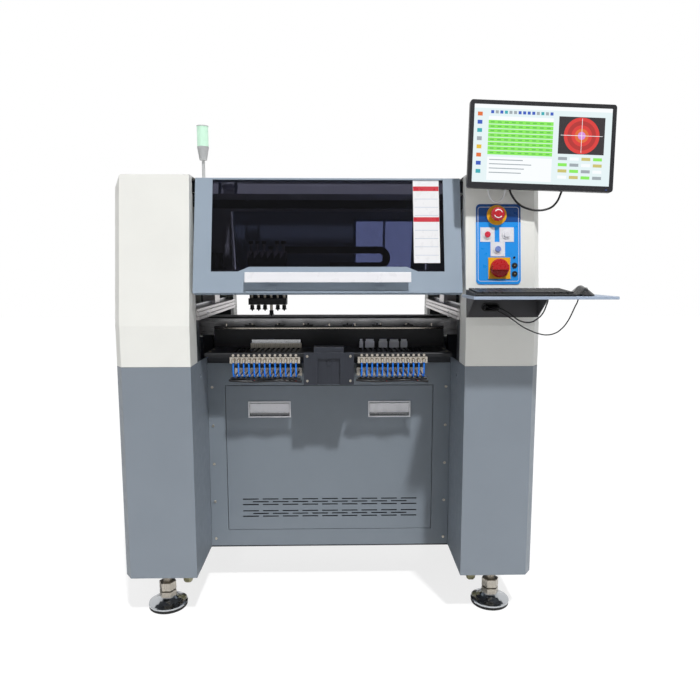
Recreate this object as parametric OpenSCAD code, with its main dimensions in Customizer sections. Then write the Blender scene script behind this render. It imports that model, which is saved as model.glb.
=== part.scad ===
// Floor-standing pick and place machine: two side housings on a welded frame,
// a gantry with a six-nozzle head under sloping hoods, feeder tables front and rear,
// a board conveyor between them, and an operator's station on the right column.
// Axes: +X to the right, +Y into the machine from its front, +Z up.

/* [Housings] */
// Width over the two side housings
machine_w = 1244; // [1220:1:1400]
// Depth from the front covers to the rear covers
machine_d = 870; // [860:1:1040]
// Height of the housings' tops above the floor
housing_h = 1335; // [1300:1:1420]
// Width of one side housing
housing_w = 222; // [210:1:240]
// Height of the covers' lower edge above the floor
cover_z = 135; // [130:1:150]
// Height of the seam between lower and upper covers
seam_z = 781; // [776:1:786]
// Height at which the front of the upper covers starts to lean back
fold_z = 901; // [896:1:915]
// How far the top of the upper covers leans back
lean = 58; // [45:1:62]
// Sheet thickness of the covers
sheet = 2; // [1.5:0.5:3]
// Width of the vertical corner chamfer across the front
corner_x = 22; // [16:1:26]
// Depth of the vertical corner chamfer along the side
corner_y = 30; // [24:1:34]
// Height of the board slot in the housings' outer walls above the rails' tops
slot_h = 35; // [25:1:50]

/* [Frame] */
// Width of the welded frame's main posts
post = 60; // [50:1:62]
// Section of the lower rails
rail = 50; // [40:1:54]
// Thickness of the foot plates
plate_t = 12; // [10:1:16]
// Height of the Y beams' underside above the floor
beam_z = 911; // [905:1:915]
// Height of the Y beams
beam_h = 34; // [30:1:40]
// How far the Y beams stand in front of the housings' inner faces
beam_in = 8; // [5:1:15]
// Width of the Y beams
beam_w = 70; // [64:1:72]

/* [Feet and casters] */
// Outer diameter of a levelling foot
foot_d = 120; // [90:1:124]
// Distance of the feet from the housings' inner faces
foot_in = 115; // [105:1:122]
// Distance of the feet from the covers' front or rear
foot_y = 90; // [84:1:100]
// Width across the flats of the foot nuts
foot_nut = 46; // [36:1:50]
// Diameter of the levelling stem
stem_d = 24; // [16:1:26]
// Diameter of a caster wheel
caster_d = 50; // [40:1:54]
// Width of a caster wheel
caster_w = 24; // [18:1:26]
// Height of the caster wheels above the floor
caster_gap = 33; // [20:1:40]

/* [Hoods] */
// Gap between a hood and the housing beside it
hood_gap = 9; // [5:1:15]
// Length of a hood down its slope
hood_l = 345; // [330:1:350]
// Depth of the hood frame
hood_t = 28; // [24:1:32]
// Slope of the hoods from the vertical, in degrees
hood_angle = 13.6; // [12:0.1:15]
// Width of the frame beside the window
hood_side = 51; // [40:1:60]
// Height of the frame below the window
hood_foot = 63; // [55:1:70]
// Thickness of the window
window_t = 5; // [3:1:6]
// Length of the hood handle
handle_l = 478; // [380:1:500]
// Radius of the hood hinge pins
hood_pin_r = 4; // [3:0.5:5]
// Distance of the rear hood's small window from the machine's middle
rear_window_x = 104; // [80:1:120]
// Width of the rear hood's small window
rear_window_w = 230; // [200:1:250]
// Height of the rear hood's small window, along its slope
rear_window_h = 193; // [150:1:210]

/* [Bay and doors] */
// Distance of the bay's panels behind the covers' front
bay_y = 226; // [215:1:240]
// Width of the surround beside a door
door_margin = 59; // [50:1:80]
// Height of a door's lower edge
door_z = 192; // [188:1:200]
// Height of a door
door_h = 492; // [470:1:500]
// Length of a louvre slot
louvre_l = 53; // [40:1:56]
// Height of a louvre slot
louvre_h = 4.5; // [3:0.5:6]
// Distance between louvre slots in a row
louvre_pitch = 66.5; // [60:0.5:68]
// Width of a door handle
grip_w = 132; // [110:1:140]
// Height of a door handle
grip_h = 44; // [40:1:50]
// Distance of a door handle's middle from the door's middle
grip_x = 198; // [150:1:220]

/* [Feeders] */
// Distance between feeder positions
feeder_pitch = 16; // [15:0.5:17]
// Feeder positions in one bank
feeder_count = 13; // [9:1:13]
// Distance of a bank's middle from the machine's middle
bank_x = 197; // [190:1:210]
// Height of the feeder table's top
table_z = 808; // [800:1:815]
// Diameter of an air tube
tube_d = 5; // [4:0.5:6]
// Radius of a feeder's locating bore
locate_r = 2.5; // [2:0.1:3]

/* [Gantry and head] */
// Distance of the nozzles behind the covers' front at rest
nozzle_y = 400; // [395:1:405]
// Distance between nozzles
nozzle_pitch = 22.4; // [21:0.1:24]
// Place of the first nozzle across the machine at rest
nozzle_x = -272; // [-280:1:-260]
// Radius of a nozzle shaft
shaft_r = 5; // [4:0.5:6]
// Height of the nozzle tips above the floor
tip_z = 919; // [915:1:925]
// How far the fourth nozzle stands lowered
lowered = 18; // [5:1:19]
// Height of the gantry beam's underside
gantry_z = 975; // [972:1:985]
// Height of the gantry beam
gantry_h = 88; // [80:1:100]

/* [Conveyor] */
// Width of the board track at rest
board_w = 196; // [120:1:220]
// Height of the conveyor rails' tops
track_z = 896; // [890:1:900]
// Radius of the guide rods
guide_r = 8; // [6:1:10]

/* [Operator station] */
// Width of the monitor
monitor_w = 415; // [400:1:425]
// Height of the monitor
monitor_h = 244; // [235:1:255]
// Roll of the monitor, in degrees
monitor_roll = 1.9; // [0:0.1:3]
// Backward tilt of the monitor, in degrees
monitor_tilt = 4; // [0:0.5:8]
// Width of the keyboard tray
tray_w = 390; // [380:1:420]
// Depth of the keyboard tray
tray_d = 160; // [150:1:170]
// Height of the keyboard tray's top
tray_z = 991; // [985:1:995]

/* [Light tower] */
// Diameter of the light tower's lens
lens_d = 39; // [34:1:44]
// Height of the lens
lens_h = 64; // [50:1:70]

/* [Hidden] */
$fn = 48;
eps = 0.01;
gap = 0.3;
run = 0.05;
half_w = machine_w / 2;
bay = half_w - housing_w;
lean_angle = atan(lean / (housing_h - fold_z));
slope_l = (housing_h - fold_z) / cos(lean_angle);
beam_x = bay - beam_in;
guide_x = beam_x + 28;
guide_w = 20;
carriage_in = guide_x - 12;
carriage_out = guide_x + guide_w + 12;
foot_x = bay + foot_in;
hood_w = 2 * (bay - hood_gap);
door_w = 2 * (bay - door_margin);
top_bevel_x = 24;
corner_step = 0.5;
top_bevel_z = 35;
return_y = 90;
frame_top = housing_h - 4;
frame_low = 118;
post_x = bay + sheet;
post_y = 95;
bar_z = 700;
bar_w = 40;
bed_z = bar_z + 60;
bed_t = 20;
bed_top = bed_z + bed_t;
hood_top_y = 96;
hood_top_z = housing_h - 4;
hinge_x = hood_w / 2 - 91;
handle_stand = 24;
handle_low = 319;
handle_out = hood_top_y - handle_stand * cos(hood_angle) - handle_low * sin(hood_angle);
pin_back = hood_t + 12;
pin_drop = 12;
pin_y = hood_top_y + pin_back * cos(hood_angle) - pin_drop * sin(hood_angle);
pin_z = hood_top_z - pin_back * sin(hood_angle) - pin_drop * cos(hood_angle);
station_x = bay + 205;
tray_right = bay + 378;
monitor_r = 8;
monitor_reach = monitor_r + (monitor_w / 2 - monitor_r) * cos(monitor_roll)
    + (monitor_h / 2 - monitor_r) * sin(monitor_roll);
x_mid = (station_x + monitor_reach - half_w) / 2;
tray_front = -150;
y_mid = (tray_front + machine_d - min(0, handle_out)) / 2;
table_front = 104;
table_back = bay_y + 48;
table_t = 12;
track_y = 332;
track_t = 12;
track_h = 54;
moving_y = track_y + track_t + board_w;
rod_x = 340;
rod_z = track_z - 36;
end_y = machine_d - table_back - 14;
gantry_y = nozzle_y + 40;
gantry_d = 80;
carriage_z = beam_z + beam_h + 10;
head_x0 = nozzle_x - 10;
head_x1 = nozzle_x + 5 * nozzle_pitch + 10;
arm_z = housing_h + 70;
arm_post_x = bay + 150;
neck_y = 72;
tilt_y = 50;
tower_x = -bay - 18;
tower_y = 350;
shelf_t = 4;
caster_x = bay + 70;
caster_y = 176;
caster_z = caster_gap + caster_d / 2;

// Routes of the station's cables, as points chosen along each cable
keyboard_route = [[478, 6, 954], [486, -6, 953.5], [496, -17, 951], [507, -24, 945],
    [517, -31, 938], [527, -37, 930], [538, -41, 921.5], [550, -46, 916],
    [563, -49, 914], [577, -52, 916], [589, -55, 924], [599, -58, 934],
    [606, -60, 946], [611, -61, 960], [615, -62, 974], [616, -62, 987.7]];
mouse_route = [[462, 6, 954], [474, -20, 951], [492, -34, 941], [520, -42, 924],
    [546, -48, 905], [570, -54, 892], [594, -60, 883], [616, -65, 880],
    [638, -70, 886], [655, -74, 900], [667, -78, 918], [676, -81, 938],
    [684, -84, 960], [690, -86, 975], [692, -86, 987.7]];
signal_route = [[459, 24, 1322.3], [459, 24, 1313], [459, 24, 1303], [459, 24, 1293],
    [460.5, 25, 1283], [463, 25, 1274], [467.5, 25, 1265], [474, 25, 1258],
    [483.5, 25, 1255], [493, 25, 1257], [500, 25, 1263.5], [504.5, 25, 1272],
    [507, 25, 1282], [508, 24, 1292], [508, 24, 1302], [508, 24, 1311], [508, 24, 1320.7]];
power_route = [[520, 24, 1320.3], [520, 24, 1307], [521, 24, 1293], [525.5, 25, 1279.5],
    [532.5, 25, 1268], [541.5, 26, 1257], [552, 26, 1248], [564, 26, 1241],
    [577, 26, 1236.5], [591, 26, 1233], [605, 26, 1232], [618, 26, 1232.5],
    [632, 26, 1235.5], [645, 26, 1241], [655, 25.5, 1250], [663, 25, 1262],
    [668, 25, 1274.5], [672, 24, 1288], [673, 24, 1302], [673, 24, 1315.2]];

// ---- Placing helpers ----

// The origin is on the floor under the middle of the whole machine's box
module placed() translate([-x_mid, -y_mid, 0]) children();

// Repeats a front piece at the rear
module rear() translate([0, machine_d, 0]) mirror([0, 1, 0]) children();

module both_ends() {
    children();
    rear() children();
}

module both_sides() {
    children();
    mirror([1, 0, 0]) children();
}

// A block from its lowest to its highest corner
module block(low, high) translate(low) cube(high - low);

// A Y-Z outline made as long as X0 to X1
module side_prism(x0, x1) translate([x0, 0, 0]) rotate([90, 0, 90]) linear_extrude(x1 - x0) children();

// An X-Z outline made as deep as Y0 to Y1
module front_prism(y0, y1) translate([0, y1, 0]) rotate([90, 0, 0]) linear_extrude(y1 - y0) children();

// A cylinder along X
module x_rod(x0, x1, r, y, z) translate([x0, y, z]) rotate([0, 90, 0]) cylinder(h = x1 - x0, r = r);

// A cylinder along Y
module y_rod(y0, y1, r, x, z) translate([x, y0, z]) rotate([-90, 0, 0]) cylinder(h = y1 - y0, r = r);

// The sloping face of the right upper cover: X from its inner edge, Y outwards is minus, Z up the slope
module on_slope() translate([bay, 0, fold_z]) rotate([-lean_angle, 0, 0]) children();

function up_slope(z) = (z - fold_z) / cos(lean_angle);

// The front hood's own frame: origin at its top edge, Z down is minus
module on_hood() translate([0, hood_top_y, hood_top_z]) rotate([-hood_angle, 0, 0]) children();

// ---- Frame ----

// Cross bars of the frame, which also cut their way through the inner walls
module cross_bars(clear) {
    for (z = [[130, 180], [bar_z, bed_z]]) {
        block([-post_x - eps, bay_y + sheet - clear, z[0] - clear],
            [post_x + eps, bay_y + sheet + bar_w + clear, z[1] + clear]);
    }
}

module frame_corner() {
    block([post_x, post_y, 130], [post_x + post, post_y + rail, beam_z]);
    block([post_x + post + 18, post_y + 5, 130], [post_x + post + 58, post_y + rail - 5, frame_top]);
    block([post_x + post - eps, post_y + 5, beam_z - rail], [post_x + post + 18 + eps, post_y + rail - 5, beam_z]);
    block([post_x + 8, 40, frame_low], [half_w - 20, 240, frame_low + plate_t]);
    block([post_x, bay_y + sheet, bar_z], [post_x + rail, bay_y + sheet + bar_w, bed_z]);
    block([post_x, post_y + rail - eps, bar_z], [post_x + rail, bay_y + sheet + eps, bed_z]);
    block([-eps, 160, frame_top - 30], [post_x + post + 58, 190, frame_top]);
}

module base_frame() {
    color("dimgray") difference() {
        union() {
            both_sides() {
                both_ends() frame_corner();
                block([post_x, 60, 130], [post_x + rail, machine_d - 60, 180]);
                block([half_w - 50, 60, frame_low + plate_t - eps], [half_w - 20, machine_d - 60, frame_low + 42]);
                block([post_x + post + 18, post_y + 5, frame_top - 30],
                    [post_x + post + 58, machine_d - post_y - 5, frame_top]);
            }
            both_ends() cross_bars(0);
        }
        both_ends() both_sides() translate([foot_x, foot_y, frame_low - 1])
            cylinder(h = plate_t + 2, r = stem_d / 2 + 0.5);
    }
}

module foot_bell() {
    rotate_extrude() polygon([[0, 10], [foot_d / 2, 10], [foot_d / 2, 15], [foot_d / 2 - 3, 17],
        [foot_d / 2 - 16, 21], [foot_d / 2 - 28, 27], [25, 33], [24, 35], [0, 35]]);
}

module levelling_foot() {
    rotate_extrude() polygon([[0, 0], [foot_d / 2 - 3, 0], [foot_d / 2 - 1, 2], [foot_d / 2 - 1, 10], [0, 10]]);
    foot_bell();
    translate([0, 0, 35 - eps]) cylinder(h = frame_low + plate_t - 35, r = stem_d / 2);
    for (nut = [[35.3, 17], [57, 25], [frame_low - 14.3, 14]]) translate([0, 0, nut[0]]) difference() {
        cylinder(h = nut[1], r = foot_nut / sqrt(3), $fn = 6);
        translate([0, 0, -1]) cylinder(h = nut[1] + 2, r = stem_d / 2 + run);
    }
}

module levelling_feet() {
    color("silver") both_ends() both_sides() translate([foot_x, foot_y, 0]) levelling_foot();
}

module caster_fork() {
    top = frame_low - caster_z;
    difference() {
        union() {
            translate([-20, -28, top - 6]) cube([40, 56, 6]);
            cylinder(h = top, r = 9);
            for (x = [-1, 1]) side_prism(x * (caster_w / 2 + 3) - 1.5, x * (caster_w / 2 + 3) + 1.5)
                polygon([[-9, -9], [9, -9], [20, caster_d / 2 + 10], [-20, caster_d / 2 + 10]]);
            translate([-caster_w / 2 - 4.5, -20, caster_d / 2 + 6]) cube([caster_w + 9, 40, 4]);
        }
        x_rod(-30, 30, 4, 0, 0);
        translate([0, 0, -eps]) x_rod(-caster_w / 2 - 1.5, caster_w / 2 + 1.5, caster_d / 2 + 3, 0, 0);
    }
}

module caster_forks() {
    color("silver") both_ends() both_sides() translate([caster_x, caster_y, caster_z]) caster_fork();
}

module caster_wheel(side, end) {
    color("khaki") translate([side * caster_x, end < 0 ? caster_y : machine_d - caster_y, caster_z]) {
        rotate([0, 90, 0]) rotate_extrude() polygon([[0, -caster_w / 2 + 4], [12, -caster_w / 2 + 4],
            [12, -caster_w / 2], [caster_d / 2 - 4, -caster_w / 2], [caster_d / 2, -caster_w / 2 + 5],
            [caster_d / 2, caster_w / 2 - 5], [caster_d / 2 - 4, caster_w / 2], [12, caster_w / 2],
            [12, caster_w / 2 - 4], [0, caster_w / 2 - 4]]);
        x_rod(-caster_w / 2 - 7, caster_w / 2 + 7, 4 - run, 0, 0);
    }
}

// ---- Housings ----

// Outline of a housing seen from the side, moved in by t
module housing_side(t) polygon([[t, cover_z - 10], [t, fold_z], [lean + t, housing_h - t],
    [machine_d - lean - t, housing_h - t], [machine_d - t, fold_z], [machine_d - t, cover_z - 10]]);

// Triangle that cuts the outer corner of a housing
module corner_cut() polygon([[-2 * corner_x, -corner_y], [corner_x, 2 * corner_y], [corner_x, -corner_y]]);

// One right-hand housing as a solid, moved in by t
module housing_form(t) {
    difference() {
        side_prism(bay + t, half_w - t) housing_side(t);
        both_ends() translate([half_w - t, t, 0]) {
            translate([0, 0, cover_z - 20]) linear_extrude(fold_z - cover_z + 20) corner_cut();
            translate([corner_step, 0, fold_z]) rotate([-lean_angle, 0, 0]) translate([0, 0, -8])
                linear_extrude(slope_l + 40) corner_cut();
        }
        translate([half_w - t, 0, housing_h - t]) front_prism(-10, machine_d + 10)
            polygon([[-2 * top_bevel_x, top_bevel_z], [top_bevel_x, top_bevel_z],
                [top_bevel_x, -2 * top_bevel_z]]);
    }
}

// The bent sheet of one housing between two heights
module housing_shell(low, high) {
    intersection() {
        difference() {
            housing_form(0);
            housing_form(sheet);
            block([bay - 1, sheet, cover_z - 20], [half_w - sheet, machine_d - sheet, cover_z - 9]);
        }
        block([0, -10, low], [half_w + 10, machine_d + 10, high]);
    }
}

module lower_cover() {
    difference() {
        housing_shell(cover_z, seam_z);
        both_ends() cross_bars(1);
        both_ends() translate([0, 130, 735]) y_hole_x(6);
    }
}

module y_hole_x(r) x_rod(bay - 5, bay + 5, r, 0, 0);

module upper_cover() {
    difference() {
        housing_shell(seam_z + 0.8, housing_h + 1);
        block([bay - 1, return_y, seam_z - 1], [bay + sheet + 1, machine_d - return_y, housing_h - sheet]);
        block([half_w - 10, track_y - 20, track_z - track_h - 6],
            [half_w + 10, end_y + 8, track_z + slot_h]);
    }
}

module left_lower_cover() color("slategray") mirror([1, 0, 0]) lower_cover();

module right_lower_cover() color("slategray") lower_cover();

module left_upper_cover() color("ivory") mirror([1, 0, 0]) upper_cover();

module right_upper_cover() {
    color("ivory") difference() {
        upper_cover();
        on_slope() block([46, -5, up_slope(1032)], [144, 20, up_slope(1240)]);
        on_slope() cable_slot(-5, 20);
    }
}

module top_panel() {
    front = pin_y + 14;
    color("ivory") difference() {
        union() {
            block([-bay + gap, front, frame_top], [bay - gap, machine_d - front, frame_top + sheet]);
            both_ends() {
                block([-bay + gap, pin_y + 20, frame_top - 40], [bay - gap, pin_y + 20 + sheet, frame_top + eps]);
                both_sides() hinge_lug();
            }
        }
        both_ends() both_sides() x_rod(hinge_x - 30, hinge_x + 30, hood_pin_r + run, pin_y, pin_z);
    }
}

// The fixed half of a hood hinge, round the pin
module hinge_lug() {
    x_rod(hinge_x - 16, hinge_x + 16, 9, pin_y, pin_z);
    block([hinge_x - 16, pin_y, pin_z - 7], [hinge_x + 16, pin_y + 20 + eps, pin_z + 7]);
}

// ---- Bay panels and doors ----

module door_opening(c) block([-door_w / 2 - c, bay_y - 1, door_z - c], [door_w / 2 + c, bay_y + 30, door_z + door_h + c]);

module surround() {
    difference() {
        union() {
            block([-bay + gap, bay_y, cover_z], [bay - gap, bay_y + sheet, bed_z]);
            block([-door_w / 2 - 4, bay_y + sheet - eps, door_z - 4],
                [door_w / 2 + 4, bay_y + 22, door_z + door_h + 4]);
        }
        door_opening(2);
    }
    difference() {
        block([-door_w / 2 - 2 - eps, bay_y + 20, door_z - 2 - eps],
            [door_w / 2 + 2 + eps, bay_y + 22, door_z + door_h + 2 + eps]);
        block([-door_w / 2 + 18, bay_y, door_z + 18], [door_w / 2 - 18, bay_y + 30, door_z + door_h - 18]);
    }
}

module door_surrounds() color("slategray") both_ends() surround();

// A panel folded into a shallow tray, open to the rear
module door_tray() {
    difference() {
        block([-door_w / 2, bay_y, door_z], [door_w / 2, bay_y + 20 - gap, door_z + door_h]);
        block([-door_w / 2 + sheet, bay_y + sheet, door_z + sheet],
            [door_w / 2 - sheet, bay_y + 30, door_z + door_h - sheet]);
    }
}

// Two groups of three louvre rows, the middle row of each set off by half a pitch
module louvres() {
    for (group = [235, 276]) for (row = [0, 1, 2]) {
        columns = floor((door_w - 80) / louvre_pitch);
        count = row == 1 ? columns - 1 : columns;
        for (i = [0 : count - 1])
            block([(i - (count - 1) / 2) * louvre_pitch - louvre_l / 2, bay_y - 5, group + row * 9.5],
                [(i - (count - 1) / 2) * louvre_pitch + louvre_l / 2, bay_y + 5,
                group + row * 9.5 + louvre_h]);
    }
}

grip_z = 583;
grip_depth = 32;

// The recessed pocket of a door handle about its own middle
module grip_pocket(t) block([-grip_w / 2 - t, bay_y - (t > 0 ? 0 : 1), grip_z - t],
    [grip_w / 2 + t, bay_y + grip_depth + t, grip_z + grip_h + t]);

module plain_door() {
    difference() {
        door_tray();
        louvres();
    }
}

flap_y = bay_y + 6;
flap_z = grip_z + grip_h - 5;

module front_door() {
    color("slategray") difference() {
        union() {
            plain_door();
            for (x = [-1, 1]) translate([x * grip_x, 0, 0]) grip_pocket(sheet);
        }
        for (x = [-1, 1]) translate([x * grip_x, 0, 0]) {
            grip_pocket(0);
            x_rod(-grip_w / 2 - 1.5, grip_w / 2 + 1.5, 2 + run, flap_y, flap_z);
        }
    }
}

// The rear panel is held by four quarter-turn fasteners
module rear_door() {
    color("slategray") rear() difference() {
        union() {
            plain_door();
            for (x = [-1, 1], z = [door_z + 30, door_z + door_h - 30])
                y_rod(bay_y - 3, bay_y + eps, 9, x * (door_w / 2 - 30), z);
        }
        for (x = [-1, 1], z = [door_z + 30, door_z + door_h - 30])
            block([x * (door_w / 2 - 30) - 7, bay_y - 4, z - 1], [x * (door_w / 2 - 30) + 7, bay_y - 1.5, z + 1]);
    }
}

// A sprung flap that hangs on a pin across the top of its pocket
module handle_flap(x) {
    color("silver") translate([x, 0, 0]) {
        x_rod(-grip_w / 2 - 1.2, grip_w / 2 + 1.2, 2, flap_y, flap_z);
        block([-grip_w / 2 + 1, flap_y - 1.5, flap_z - 27], [grip_w / 2 - 1, flap_y + 1.5, flap_z]);
        x_rod(-grip_w / 2 + 1, grip_w / 2 - 1, 2.5, flap_y, flap_z - 27);
    }
}

module left_handle_flap() handle_flap(-grip_x);

module right_handle_flap() handle_flap(grip_x);

// ---- Bed, beams and feeder tables ----

module machine_bed() {
    color("dimgray") difference() {
        block([-bay + 2, bay_y + sheet, bed_z], [bay - 2, machine_d - bay_y - sheet, bed_top]);
        both_sides() block([60, table_back + 20, bed_z - 1], [300, table_back + 90, bed_top + 1]);
        both_sides() block([60, machine_d - table_back - 90, bed_z - 1],
            [300, machine_d - table_back - 20, bed_top + 1]);
    }
}

module y_beam() {
    difference() {
        block([beam_x, post_y, beam_z], [beam_x + beam_w, machine_d - post_y, beam_z + beam_h]);
        for (z = [beam_z + 9, beam_z + 23]) block([beam_x - 1, post_y - 1, z], [beam_x + 6, machine_d, z + 5]);
    }
    difference() {
        block([guide_x, post_y + 5, beam_z + beam_h], [guide_x + guide_w, machine_d - post_y - 5, carriage_z]);
        for (x = [guide_x - 1, guide_x + guide_w - 3])
            block([x, post_y, beam_z + beam_h + 3], [x + 4, machine_d - post_y, beam_z + beam_h + 6]);
    }
}

module y_beams() color("silver") both_sides() y_beam();

// Y-Z section of the front feeder table with its upstand and foot
module table_section() polygon([[table_front, table_z - table_t], [bay_y + 2, table_z - table_t],
    [bay_y + 2, bed_top], [bay_y + 36, bed_top], [bay_y + 36, table_z - table_t],
    [table_back, table_z - table_t], [table_back, 872], [table_back - 6, 878], [table_back - 12, 878],
    [table_back - 12, table_z], [table_front + 3, table_z], [table_front, table_z - 3]]);

module feeder_places() {
    for (bank = [-bank_x, bank_x]) for (i = [0 : feeder_count - 1])
        translate([bank + (i - (feeder_count - 1) / 2) * feeder_pitch, 0, 0]) children();
}

module feeder_table() {
    difference() {
        side_prism(20 - bay, bay - 20) table_section();
        feeder_places() {
            block([-4, table_front + 34, table_z - 5], [4, bay_y + 20, table_z + 1]);
            translate([0, table_front + 18, table_z - table_t - 1]) cylinder(h = table_t + 2, r = locate_r);
        }
    }
}

module feeder_tables() color("dimgray") both_ends() feeder_table();

bank_half = (feeder_count - 1) / 2 * feeder_pitch + 12;
manifold_z = table_z - table_t;

module bank_fittings() {
    block([-bank_half, table_front + 4, manifold_z - 20], [bank_half, table_front + 24, manifold_z]);
    block([-bank_half, bay_y - 26, 722], [bank_half, bay_y, 748]);
    for (i = [0 : feeder_count - 1]) translate([(i - (feeder_count - 1) / 2) * feeder_pitch, 0, 0]) {
        y_rod(table_front - 5, table_front, 4, 0, table_z - 6);
        y_rod(table_front - 4, table_front + 4, 3.5, 0, manifold_z - 10);
        translate([0, table_front - 7, manifold_z - 16]) cylinder(h = 10, r = 4.5);
    }
}

// Where each valve on the right bank starts and ends across the machine
valve_x = [[99, 111], [118, 148], [163, 191], [198, 229], [235, 257]];

// A pressure bar on the left bank and a row of small valves on the right one
module table_valves() {
    block([-258, table_back - 34, table_z], [-92, table_back - 14, table_z + 15]);
    block([-254, table_back - 31, table_z + 15 - eps], [-95, table_back - 17, table_z + 27]);
    for (x = valve_x) {
        block([x[0], table_back - 34, table_z], [x[1], table_back - 14, table_z + 20]);
        block([x[0] + 2, table_back - 31, table_z + 20 - eps], [x[1] - 2, table_back - 17, table_z + 27]);
    }
}

module air_fittings() {
    color("goldenrod") both_ends() both_sides() translate([bank_x, 0, 0]) bank_fittings();
    color("gainsboro") both_ends() table_valves();
}

tube_y = table_front - 7;
tube_bend = 16;
tube_low = 735;

// One air tube: down from its fitting, round a bend and back to the valve block
module air_tube() {
    translate([0, tube_y, tube_low + tube_bend]) cylinder(h = manifold_z - 16 - tube_low - tube_bend, r = tube_d / 2);
    translate([0, tube_y + tube_bend, tube_low + tube_bend]) rotate([0, 90, 0]) rotate([0, 0, -90])
        rotate_extrude(angle = 90) translate([tube_bend, 0]) circle(r = tube_d / 2);
    y_rod(tube_y + tube_bend, bay_y - 26, tube_d / 2, 0, tube_low);
}

module feeder_tubes() {
    color("dodgerblue") both_ends() feeder_places() air_tube();
    color("firebrick") both_ends() both_sides() translate([bank_x, 0, 0]) {
        x_rod(-bank_half, bank_half, 4.5, tube_y + 18, tube_low - tube_d / 2 - 4.8);
    }
}

module centre_bracket() {
    difference() {
        union() {
            block([-77, table_front - 16, 712], [77, table_front, 811]);
            both_sides() block([61, table_front - eps, 712], [77, bay_y, manifold_z]);
        }
        block([-34, table_front - 17, 711], [34, table_front - 10, 793]);
        both_sides() block([66, table_front + 20, 730], [78, bay_y - 20, 780]);
    }
    y_rod(table_front - 14, table_front - 10, 7, 0, 778);
    block([-46, table_front - 12, 811], [46, table_front + 40, 827]);
}

module centre_brackets() color("black") both_ends() centre_bracket();

// ---- Conveyor ----

// A rail along X with its belt step on the inner side, at Y0 with the board side towards dir
module track_rail(y0, dir) {
    difference() {
        block([-half_w, y0, track_z - track_h], [half_w, y0 + track_t, track_z]);
        block([-half_w - 1, dir > 0 ? y0 + track_t - 5 : y0 - 1, track_z - 12],
            [half_w + 1, dir > 0 ? y0 + track_t + 1 : y0 + 5, track_z - 5]);
    }
}

// The belt that carries the boards along a rail
module track_belt(y0, dir) {
    y = dir > 0 ? y0 + track_t - 4.7 : y0 - 3.3;
    block([-half_w + 2, y, track_z - 10.5], [half_w - 2, y + 8, track_z - 8.5]);
}

module conveyor_fixed_rail() {
    color("silver") difference() {
        union() {
            track_rail(track_y, 1);
            for (x = [-rod_x, rod_x]) {
                block([x - 20, track_y, bed_top], [x + 20, track_y + track_t, track_z - track_h + eps]);
                block([x - 20, end_y, bed_top], [x + 20, end_y + 8, rod_z + 14]);
                y_rod(track_y + track_t - eps, end_y + eps, guide_r, x, rod_z);
            }
            block([-18, end_y, bed_top], [18, end_y + 8, rod_z + 14]);
        }
        y_rod(track_y - 1, end_y + 10, 6 + run, 0, rod_z);
    }
    color("black") translate([0, 0, 0]) track_belt(track_y, 1);
}

module conveyor_moving_rail() {
    color("silver") difference() {
        union() {
            track_rail(moving_y, -1);
            for (x = [-rod_x, rod_x]) y_rod(moving_y - 12, moving_y + eps, guide_r + 7, x, rod_z);
            y_rod(moving_y - 12, moving_y + eps, 13, 0, rod_z);
        }
        for (x = [-rod_x, rod_x]) y_rod(moving_y - 20, moving_y + 30, guide_r + run, x, rod_z);
        y_rod(moving_y - 20, moving_y + 30, 6 + run, 0, rod_z);
    }
    color("black") track_belt(moving_y, -1);
}

module width_screw() {
    color("silver") {
        y_rod(track_y - 12, end_y + 12, 6, 0, rod_z);
        y_rod(track_y - 12, track_y - gap, 14, 0, rod_z);
        y_rod(end_y + 8 + gap, end_y + 12, 10, 0, rod_z);
    }
}

module camera_and_nozzle_rack() {
    color("black") translate([-120, table_back + 28, bed_top]) difference() {
        union() {
            cylinder(h = 60, r = 15);
            translate([0, 0, 45]) cylinder(h = 35, r = 22);
            translate([-22, -20, 0]) cube([44, 40, 8]);
        }
        translate([0, 0, 62]) cylinder(h = 19, r1 = 10, r2 = 19);
    }
    color("silver") translate([150, table_back + 8, bed_top]) difference() {
        union() {
            cube([170, 40, 8]);
            translate([0, 6, 0]) cube([12, 28, 60]);
            translate([158, 6, 0]) cube([12, 28, 60]);
            translate([0, 0, 60 - eps]) cube([170, 40, 12]);
        }
        for (i = [0 : 5]) translate([29 + i * 22.4, 20, 55]) cylinder(h = 20, r = 6);
    }
}

// ---- Gantry ----

module y_carriage() {
    difference() {
        block([carriage_in, gantry_y - 5, beam_z + beam_h + gap],
            [carriage_out, gantry_y + gantry_d + 5, gantry_z + eps]);
        block([guide_x - gap, gantry_y - 6, beam_z + beam_h],
            [guide_x + guide_w + gap, gantry_y + gantry_d + 6, carriage_z + gap]);
    }
}

module gantry_beam() {
    color("silver") {
        both_sides() y_carriage();
        difference() {
            block([-carriage_out, gantry_y, gantry_z], [carriage_out, gantry_y + gantry_d, gantry_z + gantry_h]);
            for (y = [gantry_y + 12, gantry_y + gantry_d - 28])
                block([-half_w, y, gantry_z + 12], [half_w, y + 16, gantry_z + gantry_h - 12]);
        }
        for (z = [gantry_z + 12, gantry_z + gantry_h - 24])
            block([20 - bay, gantry_y - 10, z], [bay - 20, gantry_y + eps, z + 12]);
    }
    color("black") {
        translate([-bay - 10, gantry_y + 40, gantry_z + gantry_h]) cylinder(h = 60, r = 26);
        block([-bay - 41, gantry_y + 8, gantry_z + gantry_h], [20 - bay, gantry_y + 72, gantry_z + gantry_h + 8]);
    }
}

chain_h = 24;
chain_w = 44;
chain_y = gantry_y + 14;
chain_low = gantry_z + gantry_h + 2;
chain_r = 28;
chain_bend_x = 176;

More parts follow.
